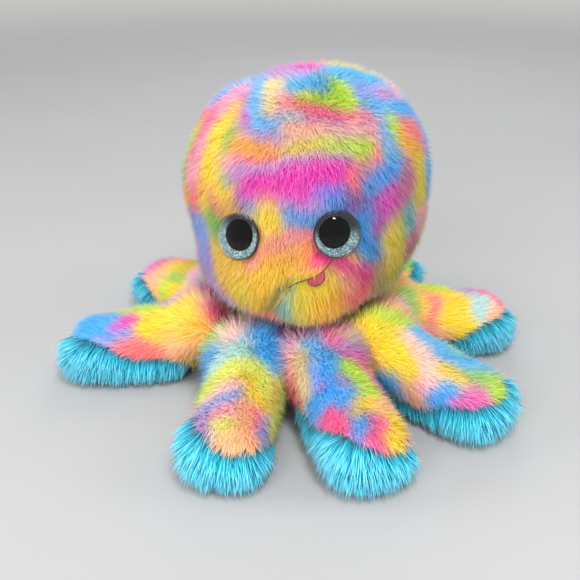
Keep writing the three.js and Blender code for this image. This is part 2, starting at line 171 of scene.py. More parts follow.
def coordinates(tree, kind="Object"):
    """Where a point lies: on its object in metres, or across the object's own box."""
    return put(tree, "ShaderNodeTexCoord").outputs[kind]


def new_material(name, **constants):
    """A node material with the constants given: the material, its tree and its shader's sockets."""
    material = bpy.data.materials.new(name)
    material.use_nodes = True
    shader = material.node_tree.nodes["Principled BSDF"]
    for socket, value in constants.items():
        shader.inputs[socket.replace("_", " ")].default_value = value
    return material, material.node_tree, shader.inputs


def linear(code):
    """A colour code such as 'f7a1b6' as linear red, green and blue."""
    parts = [int(code[i:i + 2], 16) / 255 for i in (0, 2, 4)]
    return tuple(p / 12.92 if p <= 0.04045 else ((p + 0.055) / 1.055) ** 2.4 for p in parts)


# %% [markdown]
# ## Grain
#
# Paper, plastic, thread, felt and stuffing are never one flat colour. All of them show a fine, even
# grain, so one group of nodes makes it, and each material gives it a size and two limits. An image
# would need a flat layout for each piece and would blur close up, while a noise never runs out.

# %% Shader group for grain
grain_group, given, given_back, _ = new_group(
    "grain", "ShaderNodeTree",
    {"Place": ("Vector", None), "Scale": ("Float", 100.0), "Detail": ("Float", 2.0),
     "Distortion": ("Float", 0.0), "Low": ("Float", 0.0), "High": ("Float", 1.0)},
    {"Grain": ("Float", None), "Shade": ("Float", None)})
t = grain_group
specks = put(t, "ShaderNodeTexNoise", {
    "Vector": given["Place"], "Scale": given["Scale"], "Detail": given["Detail"],
    "Distortion": given["Distortion"]}).outputs["Fac"]
shade = put(t, "ShaderNodeMapRange", {"Value": specks, "To Min": given["Low"], "To Max": given["High"]})
t.links.new(specks, given_back["Grain"])
t.links.new(shade.outputs["Result"], given_back["Shade"])


def grain(tree, scale, kind="Object", **inputs):
    """The two outputs of the grain group, placed in a material."""
    inputs.update(Place=coordinates(tree, kind), Scale=scale)
    return put(tree, "ShaderNodeGroup", inputs, node_tree=grain_group).outputs


print("grain:", len(t.nodes), "nodes")

# %% [markdown]
# ## Floor and light
#
# A soft toy looks right in broad, even light: a lamp in front and above, a weaker one low in front, a
# wide one on each side, and a pale sky that fills the shadows between the strands. Small lamps alone
# would make every strand throw a hard shadow and turn the pile into wire. Only the small lamp at the
# top shows in the eyes, as one glint, as the photograph has it. The floor is plain and pale, and fades
# into the background, so that no dark edge shows behind the toy.

# %% Floor
floor_reach, fade_from, fade_to = 6.0, 0.8, 3.2
floor_mesh = bpy.data.meshes.new("floor")
corners = [(x * floor_reach, y * floor_reach, 0) for x, y in ((-1, -1), (1, -1), (1, 1), (-1, 1))]
floor_mesh.from_pydata(corners, [], [(0, 1, 2, 3)])
placed("floor", floor_mesh)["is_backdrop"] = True

paper, tree, shader = new_material("pale paper", Roughness=0.9)
tree.links.new(grain(tree, 60, "Generated", Low=0.41, High=0.44)["Shade"], shader["Base Color"])
distance = put(tree, "ShaderNodeVectorMath", {0: coordinates(tree)}, operation="LENGTH").outputs["Value"]
fade = put(tree, "ShaderNodeMapRange", {"Value": distance, "From Min": fade_from, "From Max": fade_to,
                                        "To Min": 1, "To Max": 0}, interpolation_type="SMOOTHSTEP")
tree.links.new(fade.outputs["Result"], shader["Alpha"])
floor_mesh.materials.append(paper)
print("floor fades between", fade_from, "and", fade_to, "m")

# %% Sky and background
sky_tint, sky_strength, background = (0.88, 0.9, 0.93, 1), 0.56, (0.56, 0.56, 0.55, 1)
scene.world = world = bpy.data.worlds.new("pale sky")
world.use_nodes = True
tree = world.node_tree
sky = tree.nodes["Background"]
sky.inputs["Color"].default_value = sky_tint
sky.inputs["Strength"].default_value = sky_strength
seen = put(tree, "ShaderNodeBackground", {"Color": background})
rays = put(tree, "ShaderNodeLightPath").outputs
looks = maths(tree, "MAXIMUM", rays["Is Camera Ray"], rays["Is Glossy Ray"])
looks = maths(tree, "MAXIMUM", looks, rays["Is Transmission Ray"])
either = put(tree, "ShaderNodeMixShader", {"Fac": looks, 1: sky.outputs[0], 2: seen.outputs[0]})
tree.links.new(either.outputs[0], tree.nodes["World Output"].inputs["Surface"])
scene.view_settings.view_transform = "Standard"
print("sky strength:", sky_strength)

# %% Lamps
aimed_at = Vector((0, 0, 0.12))


def soft_lamp(name, place, size, watts, glints=False):
    """A square lamp that looks at the middle of the toy. Only one that glints is mirrored in the eyes."""
    data = bpy.data.lights.new(name, "AREA")
    data.size, data.energy = size, watts
    lamp = placed(name, data)
    lamp.location = place
    lamp.visible_glossy = lamp.visible_transmission = glints
    lamp.rotation_euler = (aimed_at - Vector(place)).to_track_quat("-Z", "Y").to_euler()


soft_lamp("front lamp", (0.53, -1.2, 1.62), 0.6, 17)
soft_lamp("top lamp", (0.38, -0.88, 1.85), 0.24, 13, glints=True)
soft_lamp("low lamp", (-0.4, -1.9, 1.0), 1.2, 28)
soft_lamp("left lamp", (-1.7, -0.5, 0.8), 1.0, 13)
soft_lamp("right lamp", (1.7, -0.1, 0.8), 1.0, 8)
soft_lamp("back lamp", (0, 1.5, 1.2), 1.0, 8)

# %% [markdown]
# ## Measuring the covers
#
# The covers of the real toy are cut from flat cloth, sewn into bags and stuffed. The frame holds
# those bags as plain solids with large flat faces. To get an even, smooth skin, rays are sent from
# outside towards the middle of each bag, and the places where they land are smoothed. A remesh would
# do this too, but a grid measured with rays keeps neat rows for the seams and the strands.

# %% Helpers for shares and directions
def smooth_step(share):
    """A share that eases in and out between 0 and 1."""
    share = np.clip(share, 0, 1)
    return share * share * (3 - 2 * share)


def bell(distance, spread):
    """1 in the middle, falling to nothing with distance."""
    return np.exp(-(distance / spread) ** 2)


def unit(vectors):
    """Directions of length one."""
    return vectors / np.maximum(np.linalg.norm(vectors, axis=-1, keepdims=True), 1e-9)


# %% Helpers for grids
def skin_of(names):
    """The faces of several solids as one tree for rays."""
    corners, faces = [], []
    for name in names:
        mesh = frame["nodes"][name].data
        first = len(corners)
        corners += [v.co.copy() for v in mesh.vertices]
        faces += [[first + i for i in p.vertices] for p in mesh.polygons]
    return BVHTree.FromPolygons(corners, faces)


def averaged(grid, times):
    """Smooths a grid whose columns run round and whose rows end at two poles."""
    for _ in range(times):
        grid = (np.roll(grid, 1, 1) + 2 * grid + np.roll(grid, -1, 1)) / 4
        padded = np.concatenate([grid[:1], grid, grid[-1:]])
        grid = (padded[:-2] + 2 * padded[1:-1] + padded[2:]) / 4
    return grid


def grid_normals(places):
    """The way out at each point of a closed grid."""
    round_it = np.roll(places, -1, 1) - np.roll(places, 1, 1)
    along_it = np.gradient(places, axis=0)
    out = unit(np.cross(round_it, along_it))
    out[0], out[-1] = unit(out[1].mean(0)), unit(out[-2].mean(0))
    return out


def grid_mesh(name, places):
    """A closed mesh from a grid whose first and last rows are poles."""
    rows, columns = places.shape[:2]
    points = [places[0, 0], *places[1:-1].reshape(-1, 3), places[-1, 0]]
    last = len(points) - 1
    faces = []
    for r in range(rows - 1):
        for c in range(columns):
            d = (c + 1) % columns
            low, high = 1 + (r - 1) * columns, 1 + r * columns
            if r == 0:
                faces.append((0, high + d, high + c))
            elif r == rows - 2:
                faces.append((low + c, low + d, last))
            else:
                faces.append((low + c, low + d, high + d, high + c))
    mesh = bpy.data.meshes.new(name)
    mesh.from_pydata([tuple(p) for p in points], [], faces, shade_flat=False)
    mesh.update()
    return mesh


# %% Measure the head
head_middle = np.array((0.0089, 0.0, 0.167))
head_columns, head_rows = 160, 90
far = 0.4  # where rays start, well outside the toy
eye_clearance, dent = 0.021, 0.003
head_tree = skin_of(["head_centre_panel", "head_left_panel", "head_right_panel", "base_panel"])
eye_places = [sum(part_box(f"{side}_eye_lens"), Vector()) / 2 for side in ("left", "right")]

rise = np.linspace(-math.pi / 2, math.pi / 2, head_rows)[:, None]
turn = np.linspace(0, 2 * math.pi, head_columns, endpoint=False)[None, :]
head_out = np.stack([np.cos(rise) * np.cos(turn), np.cos(rise) * np.sin(turn),
                     np.sin(rise) * np.ones_like(turn)], -1)
reach = np.zeros((head_rows, head_columns))
known = np.zeros(reach.shape, bool)
for r in range(head_rows):
    for c in range(head_columns):
        way = Vector(head_out[r, c])
        spot = head_tree.ray_cast(Vector(head_middle) + way * far, -way)[0]
        if spot is not None:
            reach[r, c] = (spot - Vector(head_middle)).length
            known[r, c] = min((spot - e).length for e in eye_places) > eye_clearance
middle_of_five = np.median([np.roll(reach, k, 1) for k in (-2, -1, 0, 1, 2)], axis=0)
known &= reach > middle_of_five - dent
reach[~known] = middle_of_five[~known]
print("head: places measured", int(known.sum()), "of", known.size)

# %% Smooth and fill out the head
filling_passes, smoothing_passes = 300, 10
fuller = (  # where, aside and up as the camera sees it, by how much, and how far it spreads
    ((0.62, 0.78), 0.009, 0.45), ((-0.75, 0.66), 0.004, 0.35), ((0.86, -0.5), 0.005, 0.35),
    ((-0.86, -0.5), -0.004, 0.35), ((-0.99, -0.05), 0.0035, 0.3), ((0.97, 0.22), 0.003, 0.3))
for _ in range(filling_passes):
    reach[~known] = averaged(reach, 1)[~known]
reach = averaged(reach, smoothing_passes)
for (aside, up), more, spread in fuller:
    towards = np.array(camera_turn @ Vector((aside, up, 0)))
    reach = reach + more * bell(np.arccos(np.clip(head_out @ unit(towards), -1, 1)), spread)
head_skin = head_middle + head_out * reach[..., None]
print("head reaches", round(reach.min() * 1000), "to", round(reach.max() * 1000), "mm from its middle")

# %% [markdown]
# ## The head's bag
#
# The pile hides its backing, so the cloth lies a finger's breadth inside the outline. Three panels
# are sewn together along two seams that run from the rim over the crown, and each seam pulls the
# stuffing in. The face is sculpted too: a deep crease runs from the end of the mouth down to the chin.
# Sculpting by hand would be free, but moving the grid by simple rules keeps the seams even.

# %% Seams of the head
rim_level, flange_level, widest_level, crown_level = 0.054, 0.062, 0.167, 0.254
half_at_rim, half_at_widest, half_at_crown = 0.046, 0.067, 0.038
head_lean = 0.009


def seam_gap(places):
    """How far a place lies across a seam: below nought on the centre panel, above it on a side panel."""
    level = places[..., 2]
    up = np.clip((level - widest_level) / (crown_level - widest_level), 0, 1)
    down = np.clip((widest_level - level) / (widest_level - rim_level), 0, 1)
    above = half_at_widest + (half_at_crown - half_at_widest) * up
    below = half_at_rim + (half_at_widest - half_at_rim) * np.sqrt(1 - down * down)
    lean = head_lean * smooth_step((level - flange_level) / (widest_level - flange_level))
    return np.abs(places[..., 0] - lean) - np.where(up > 0, above, below)


print("centre panel:", round(half_at_widest * 2000), "mm wide at the widest level")

# %% Paths of the mouth and the crease
crease_foot = ((270, 311), (273, 305), (278, 298), (284, 292))  # pixels, from the chin up to the mouth
mouth_slices = 12


def slices(places, count):
    """The middles of a thin body's slices along x."""
    edges = np.linspace(places[:, 0].min() - 1e-6, places[:, 0].max() + 1e-6, count)
    inside = [(places[:, 0] >= a) & (places[:, 0] < b) for a, b in zip(edges[:-1], edges[1:])]
    return np.array([places[i].mean(0) for i in inside if i.any()])


def path_gap(places, path):
    """The distance from each place to a path of straight pieces."""
    best = np.full(places.shape[:-1], 9.0)
    for a, b in zip(path[:-1], path[1:]):
        step = b - a
        share = np.clip(((places - a) @ step) / max(step @ step, 1e-12), 0, 1)
        best = np.minimum(best, np.linalg.norm(places - a - share[..., None] * step, axis=-1))
    return best


thread_spots = np.array([tuple(v.co) for v in frame["nodes"]["mouth_stitching"].data.vertices])
mouth_path = slices(thread_spots, mouth_slices)
foot_path = np.array([tuple(head_tree.ray_cast(camera_place, sight(x, y))[0]) for x, y in crease_foot])
mouth_crease = np.concatenate([foot_path, mouth_path])
print("crease and mouth:", len(foot_path), "+", len(mouth_path), "places")

# %% Sink the bag into its skin
pile_depth, bare_depth = 0.0075, 0.001
rim_from, rim_blend = 0.046, 0.02  # the level where the pile begins, and over which it reaches its depth
seam_depth, mouth_rise, crease_depth, tuck = 0.002, 0.003, 0.013, 0.012
seam_spread, mouth_spread, crease_spread = 0.005, 0.006, 0.004
tuck_below, tuck_blend = 0.088, 0.018
bulges = (((-0.010, 0.108), 0.007, 0.028, 0.018), ((0.028, 0.090), 0.008, 0.024, 0.012))  # muzzle, chin
above_rim = smooth_step((head_skin[..., 2] - rim_from) / rim_blend)
in_front = head_skin[..., 1] < 0
outward = grid_normals(head_skin)
depth = bare_depth + (pile_depth - bare_depth) * above_rim
depth = depth + seam_depth * bell(seam_gap(head_skin), seam_spread) * above_rim
depth = depth - mouth_rise * bell(path_gap(head_skin, mouth_path), mouth_spread)
crease_gap = path_gap(head_skin, mouth_crease[:len(foot_path) + 1])
depth = depth + crease_depth * bell(crease_gap, crease_spread)
for middle, out, wide, tall in bulges:
    aside, up = (head_skin[..., 0] - middle[0]) / wide, (head_skin[..., 2] - middle[1]) / tall
    depth = depth - out * np.exp(-aside ** 2 - up ** 2) * in_front
depth = depth + tuck * smooth_step((tuck_below - head_skin[..., 2]) / tuck_blend) * above_rim * in_front
head_bag = head_skin - outward * depth[..., None]
print("crease is pulled in by", crease_depth * 1000, "mm")

# %% [markdown]
# ## Stuffing the bags
#
# Stuffing pushes the cloth out between its seams. Cloth simulation does the same: the bag is blown up
# from inside while its seams are held, without gravity, and no point may move further than a few
# millimetres, so that the toy keeps its measured size.

# %% Blow up a bag
puff_frames = 20
point_mass = 0.004  # kg; the usual mass is for a bag metres wide, and hardly moves in so few frames
held_from = 0.05


def numbers(items, key, width=3):
    """What each item of a mesh holds under a key, as rows."""
    found = np.zeros(len(items) * width, np.float32)
    items.foreach_get(key, found)
    return found.reshape(-1, width)


def blown_up(name, places, held, pressure, most):
    """A grid after its bag was blown up by a cloth simulation, with the held points kept in place."""
    bag = placed(name, grid_mesh(name, places))
    group = bag.vertex_groups.new(name="seams")
    flat_held = np.concatenate([held[:1, 0], held[1:-1].ravel(), held[-1:, 0]])
    for i in np.nonzero(flat_held > held_from)[0]:
        group.add([int(i)], float(flat_held[i]), "REPLACE")
    cloth = bag.modifiers.new("stuffing", "CLOTH")
    cloth.settings.quality = 4
    cloth.settings.mass = point_mass
    cloth.settings.use_pressure = True
    cloth.settings.uniform_pressure_force = pressure
    cloth.settings.vertex_group_mass = "seams"
    cloth.settings.effector_weights.gravity = 0
    cloth.point_cache.frame_end = puff_frames
    for step in range(1, puff_frames + 1):
        scene.frame_set(step)
    moved = numbers(bag.evaluated_get(bpy.context.evaluated_depsgraph_get()).data.vertices, "co")
    scene.frame_set(1)
    bpy.data.objects.remove(bag)
    after = places.copy()
    after[0], after[-1] = moved[0], moved[-1]
    after[1:-1] = moved[1:-1].reshape(after[1:-1].shape)
    step = after - places
    length = np.linalg.norm(step, axis=-1, keepdims=True)
    print(name, "moved by up to", round(float(length.max()) * 1000, 1), "mm before the cap")
    return places + step * np.minimum(1, most / np.maximum(length, 1e-9))


# %% Stuff the head
head_slack, head_pressure, head_cap = 0.0015, 12, 0.004
seam_hold = bell(seam_gap(head_skin), 0.004) + bell(path_gap(head_skin, mouth_crease), 0.006)
seam_hold = np.clip(seam_hold + 1 - above_rim, 0, 1)
head_bag = blown_up("head bag", head_bag - outward * head_slack, seam_hold, head_pressure, head_cap)

# %% [markdown]
# ## One arm, measured and stuffed
#
# All eight arms are cut from one pattern, so one bag is measured and then laid in eight places. Its
# rows run from the root to the tip along the arm's middle, and close over both ends.

# %% Where each arm lies
arm_names = ["front_left", "front_right", "right_front", "right_rear",
             "rear_right", "rear_left", "left_rear", "left_front"]
arm_frames = {}
for joint in frame["joints"]:
    axis = np.array(joint["axis"])
    along = np.array((-axis[1], axis[0], 0.0))
    root = np.array((joint["pos_m"][0], joint["pos_m"][1], 0.0))
    arm_frames[joint["child"]] = (root, np.array([along, np.cross((0, 0, 1), along), (0, 0, 1)]))


def lay_arm(places, arm):
    """Moves places from the pattern to where an arm lies."""
    root, axes = arm_frames[f"{arm}_arm"]
    return places @ axes + root


print("arms:", len(arm_frames))

# %% Measure the arm
arm_columns, spine_rows, tip_rows = 44, 25, 9
spine_from, spine_to = 0.006, 0.108
missed_reach = 0.004
arm_tree = skin_of(["front_left_arm_cover", "front_left_arm_sole"])
arm_root, arm_turn = arm_frames["front_left_arm"]


def arm_hit(start, way):
    """How far a ray runs that starts at a place of the pattern, or None."""
    return arm_tree.ray_cast(Vector(np.asarray(start) @ arm_turn + arm_root), Vector(way @ arm_turn))[3]


def arm_ray(middle, way):
    """How far the arm's skin lies from a place on its spine."""
    run = arm_hit(middle + way * far, -way)
    return far - run if run is not None else missed_reach


def spine_level(x):
    """The level half way between the arm's back and its sole."""
    down = np.array((0, 0, -1.0))
    top = far - arm_hit((x, 0, far), down)
    foot = arm_hit((x, 0, -far), -down) - far
    return (top + foot) / 2


rows = [(spine_from, a) for a in (180, 150, 120)]  # places on the spine, and angles from the tip
rows += [(x, 90) for x in np.linspace(spine_from, spine_to, spine_rows)]
rows += [(spine_to, a) for a in np.linspace(78, 0, tip_rows)]
around = np.linspace(0, 2 * math.pi, arm_columns, endpoint=False)
arm_grid = np.zeros((len(rows), arm_columns, 3))
for r, (x, polar) in enumerate(rows):
    middle = np.array((x, 0, spine_level(x)))
    side = math.sin(math.radians(polar))
    for c, angle in enumerate(around):
        way = np.array((math.cos(math.radians(polar)), side * math.cos(angle), side * math.sin(angle)))
        arm_grid[r, c] = middle + way * arm_ray(middle, way)
arm_skin = averaged(arm_grid, 3)
arm_out = grid_normals(arm_skin)
print("arm from", (arm_skin.min((0, 1)) * 1000).round(), "to", (arm_skin.max((0, 1)) * 1000).round())

# %% Bag of the arm
arm_inset, sole_inset, resting_level = 0.0065, 0.0075, 0.0045
root_swell = 0.012  # the pile's backing stands fuller at the root than the pinched solid does
arm_slack, arm_pressure, arm_cap = 0.0006, 4, 0.003
swell_over, swell_until, swell_fade = 0.014, 0.02, 0.045
along_arm = arm_skin[..., 0]
swell = smooth_step(along_arm / swell_over) * (1 - smooth_step((along_arm - swell_until) / swell_fade))
arm_skin = arm_skin + arm_out * (root_swell * swell * smooth_step(arm_out[..., 2] + 0.5))[..., None]
facing_down = smooth_step(-arm_out[..., 2])
thin_root = smooth_step(arm_skin[..., 0] / 0.03)
arm_depth = (arm_inset + (sole_inset - arm_inset) * facing_down) * (0.35 + 0.65 * thin_root)
arm_bag = arm_skin - arm_out * arm_depth[..., None]
arm_hold = np.clip(1.2 - arm_skin[..., 0] / 0.02, 0, 1)
arm_bag = blown_up("arm bag", arm_bag - arm_out * arm_slack, arm_hold, arm_pressure, arm_cap)
arm_bag[..., 2] = np.maximum(arm_bag[..., 2], resting_level)

# %% [markdown]
# ## Dye
#
# The cloth was dyed in streaks that run into each other. A noise pattern alone would have the right
# colours in the wrong places, so each streak that the photograph shows is laid down as a stroke: its
# dye, its half width in pixels and the pixels it runs through. The camera casts it onto the toy.
# Where the photograph doesn't reach, seeded strokes carry on in the same manner.
# A few strokes paint light and shade instead of dye: a dark blue painted shadow over the eyes, and paler dyes
# as painted light on the arms' roots under the chin.

# %% The dyes
dyes = {name: np.array(linear(code)) for name, code in {
    "sky": "50b4e6", "blue": "24aef0", "periwinkle": "8ca6ea", "lilac": "bc90cc", "magenta": "e82cb0",
    "rose": "fa5c94", "pink": "ffaac0", "coral": "fa7474", "peach": "ffba88", "dusk": "eab4b0",
    "orange": "f2aa18", "yellow": "f8d41a", "cream": "ecd48e", "lime": "bee02a", "green": "7ac85e",
    "teal": "3aaab8", "olive": "e4cc2e", "mist": "b2dcd8", "pear": "e6ea62", "gold": "f4c242",
    # The darkest blue stands for the shade of the brow over the eyes: a painted shadow, not a dye of the
    # cloth.
    "blush": "ffcec2", "deep": "0498de", "plum": "5c40a2", "ink": "243494", "fuchsia": "ee2e94",
    "moss": "a09868", "iris": "7c78dc", "orchid": "be50b4", "amber": "e8b80e", "leaf": "66b840",
    "mauve": "c46a88", "salmon": "ee8a94", "flamingo": "e46ab4"}.items()}
shag_dye = np.array(linear("2cc4e0"))
print("dyes:", len(dyes))

# %% Strokes on the head
head_strokes = [
    ("magenta forehead", "magenta", 13, (246, 188), (262, 184), (286, 179), (312, 174), (336, 172)),
    ("magenta forehead top", "magenta", 9, (300, 172), (322, 167), (344, 168)),
    ("magenta low edge", "magenta", 7, (262, 196), (286, 198), (306, 193)),
    ("purple end of forehead", "orchid", 5, (237, 196), (248, 197)),
    ("coral end of forehead", "coral", 8, (356, 178), (359, 192)),
    ("blue over right eye", "iris", 8, (320, 192), (336, 196)),
    ("lavender left", "lilac", 7, (228, 174), (238, 178)),
    ("lavender under band", "periwinkle", 4, (240, 170), (262, 168), (292, 162), (322, 157), (346, 158)),
    ("orange band", "orange", 8, (230, 142), (246, 147), (268, 151)),
    ("coral under orange", "coral", 5, (232, 160), (248, 160), (266, 157)),
    ("pale left of coral", "pink", 5, (222, 164), (230, 162)),
    ("olive band", "olive", 7, (292, 151), (304, 149), (318, 147)),
    ("lime band", "lime", 7, (322, 146), (342, 146), (362, 147), (374, 144)),
    ("dusk band", "dusk", 6, (292, 131), (318, 130), (344, 128), (366, 126)),
    ("peach in dusk", "peach", 6, (286, 124), (304, 126), (322, 127)),
    ("lilac over dusk", "lilac", 3, (304, 116), (322, 118), (342, 121)),
    ("mist left of dusk", "mist", 4, (284, 113), (296, 114)),
    ("rose stripe", "rose", 6, (306, 106), (322, 110), (344, 113), (364, 113)),
    ("salmon stripe", "coral", 5, (286, 97), (302, 100)),
    ("pale under salmon", "pink", 5, (281, 89), (284, 98), (276, 113)),
    ("lime patch", "lime", 10, (340, 84), (345, 93), (352, 101)),
    ("lime tail", "lime", 5, (302, 93), (322, 95), (336, 98)),
    ("cyan crown", "sky", 9, (294, 81), (310, 79), (322, 80)),
    ("lilac crown edge", "lilac", 5, (276, 68), (298, 67)),
    ("sky crown right", "sky", 8, (346, 70), (362, 73), (380, 78)),
    ("periwinkle crown right", "periwinkle", 6, (362, 88), (378, 88)),
    ("pink dot on crown", "rose", 3, (383, 89), (386, 92)),
    ("blue right shoulder", "sky", 7, (372, 104), (386, 102)),
    ("blue right shoulder end", "blue", 6, (396, 103), (414, 108)),
    ("pink far shoulder", "pink", 6, (398, 88), (408, 94)),
    ("cream oval", "cream", 8, (271, 82), (270, 94), (268, 107)),
    ("blue hook", "sky", 8, (253, 79), (249, 97), (249, 113), (258, 124), (271, 126), (277, 119)),
    ("magenta by hook", "magenta", 4, (241, 88), (240, 104), (242, 118)),
    ("lilac under hook", "lilac", 4, (244, 128), (258, 136), (272, 137)),
    ("pink brow left", "pink", 7, (246, 82), (232, 92), (220, 104)),
    ("rose brow left", "rose", 7, (214, 108), (204, 120), (198, 130)),
    ("yellow arc", "yellow", 6, (236, 101), (226, 115), (217, 128), (212, 142)),
    ("yellow arc low", "yellow", 8, (210, 152), (206, 168), (212, 184), (224, 196)),
    ("yellow arc foot", "orange", 6, (224, 198), (229, 208)),
    ("green of arc", "green", 4, (227, 134), (225, 142)),
    ("green of arc low", "green", 5, (219, 176), (222, 184)),
    ("pink left edge", "pink", 8, (196, 142), (190, 160), (187, 178)),
    ("rose dot left edge", "rose", 4, (193, 148), (190, 152)),
    ("coral left edge", "coral", 6, (190, 190), (190, 200)),
    ("coral in yellow", "coral", 5, (207, 196), (210, 204)),
    ("yellow at left temple", "yellow", 5, (201, 194), (203, 208)),
    ("green at left eye", "leaf", 6, (208, 216), (212, 226), (214, 238)),
    ("blue left cheek", "deep", 5, (188, 214), (191, 226)),
    ("periwinkle left cheek", "periwinkle", 6, (198, 226), (199, 244), (203, 262)),
    ("lilac left cheek", "lilac", 5, (204, 254), (207, 270), (214, 286), (224, 304)),
    ("olive over cheek", "gold", 8, (214, 252), (228, 264), (222, 280)),
    ("blue over left eye", "sky", 5, (243, 206), (250, 209)),
    ("yellow nose bridge", "yellow", 12, (262, 211), (267, 224), (269, 233)),
    ("peach under bridge", "peach", 5, (258, 244), (270, 240)),
    ("teal bridge", "deep", 7, (288, 219), (304, 221), (314, 228)),
    # Painted shadow: two dark blue strokes stand for the shade of the brow's pile over the top of each eye.
    ("ink over left eye", "ink", 2, (230, 208), (237, 206)),
    ("ink over right eye", "ink", 3, (340, 207), (350, 203), (360, 200)),
    ("lilac over bridge", "lilac", 4, (284, 208), (302, 210), (318, 206)),
    ("pink band under bridge", "salmon", 8, (278, 246), (296, 240), (312, 240)),
    ("pink haze of cheek", "salmon", 6, (246, 270), (262, 258), (278, 250)),
    ("blue right temple", "deep", 9, (369, 222), (370, 238), (373, 258)),
    ("blue over right eye low", "blue", 5, (334, 205), (342, 203)),
    ("lilac by right eye", "plum", 5, (356, 204), (366, 202)),
    ("purple right temple", "orchid", 5, (380, 212), (381, 232)),
    ("magenta right temple", "magenta", 7, (386, 204), (396, 194)),
    ("olive right cheek", "olive", 9, (396, 238), (400, 254), (393, 270)),
    ("teal dot right", "teal", 4, (413, 221), (416, 226)),
    ("coral right edge", "mauve", 5, (416, 238), (414, 250)),
    ("pink right edge", "pink", 4, (424, 214), (422, 228)),
    ("muzzle yellow", "amber", 10, (246, 284), (262, 276), (276, 268)),
    ("muzzle orange", "orange", 11, (272, 264), (288, 260), (302, 262)),
    ("muzzle low", "amber", 9, (250, 296), (268, 288), (286, 276)),
    ("muzzle left green", "olive", 6, (234, 290), (244, 297)),
    ("rose by mouth", "fuchsia", 8, (314, 262), (326, 259)),
    ("pink right of mouth", "fuchsia", 8, (336, 261), (348, 268), (360, 274), (371, 279)),
    ("yellow over pink", "olive", 4, (350, 258), (360, 264)),
    ("peach right of mouth", "peach", 6, (336, 280), (350, 288)),
    ("rose chin side", "coral", 5, (356, 290), (368, 290)),
    ("chin yellow", "yellow", 10, (306, 292), (322, 296), (334, 290)),
    ("chin orange", "orange", 7, (322, 306), (340, 300)),
    ("chin left", "olive", 5, (296, 300), (302, 312)),
    ("green in chin", "lime", 4, (296, 291), (303, 289)),
    ("teal by crease", "teal", 2, (291, 292), (288, 301), (285, 311)),
    ("grey right of chin", "moss", 4, (379, 270), (382, 284)),
    ("gold right panel", "orange", 6, (410, 136), (418, 150)),
    ("gold right panel low", "olive", 6, (424, 164), (426, 184), (424, 200)),
    ("coral right panel", "coral", 6, (410, 126), (420, 128)),
    ("lime right panel", "lime", 4, (397, 120), (399, 128)),
    ("blue seam", "sky", 6, (388, 128), (390, 144), (396, 160)),
    ("blue seam low", "deep", 9, (398, 168), (386, 180), (374, 192)),
    ("pink seam", "pink", 5, (374, 120), (380, 134)),
    ("coral seam", "coral", 5, (381, 146), (380, 160)),
    ("rose right panel", "mauve", 6, (408, 172), (410, 182), (402, 192)),
    ("magenta right panel", "orchid", 5, (398, 186), (390, 198)),
]

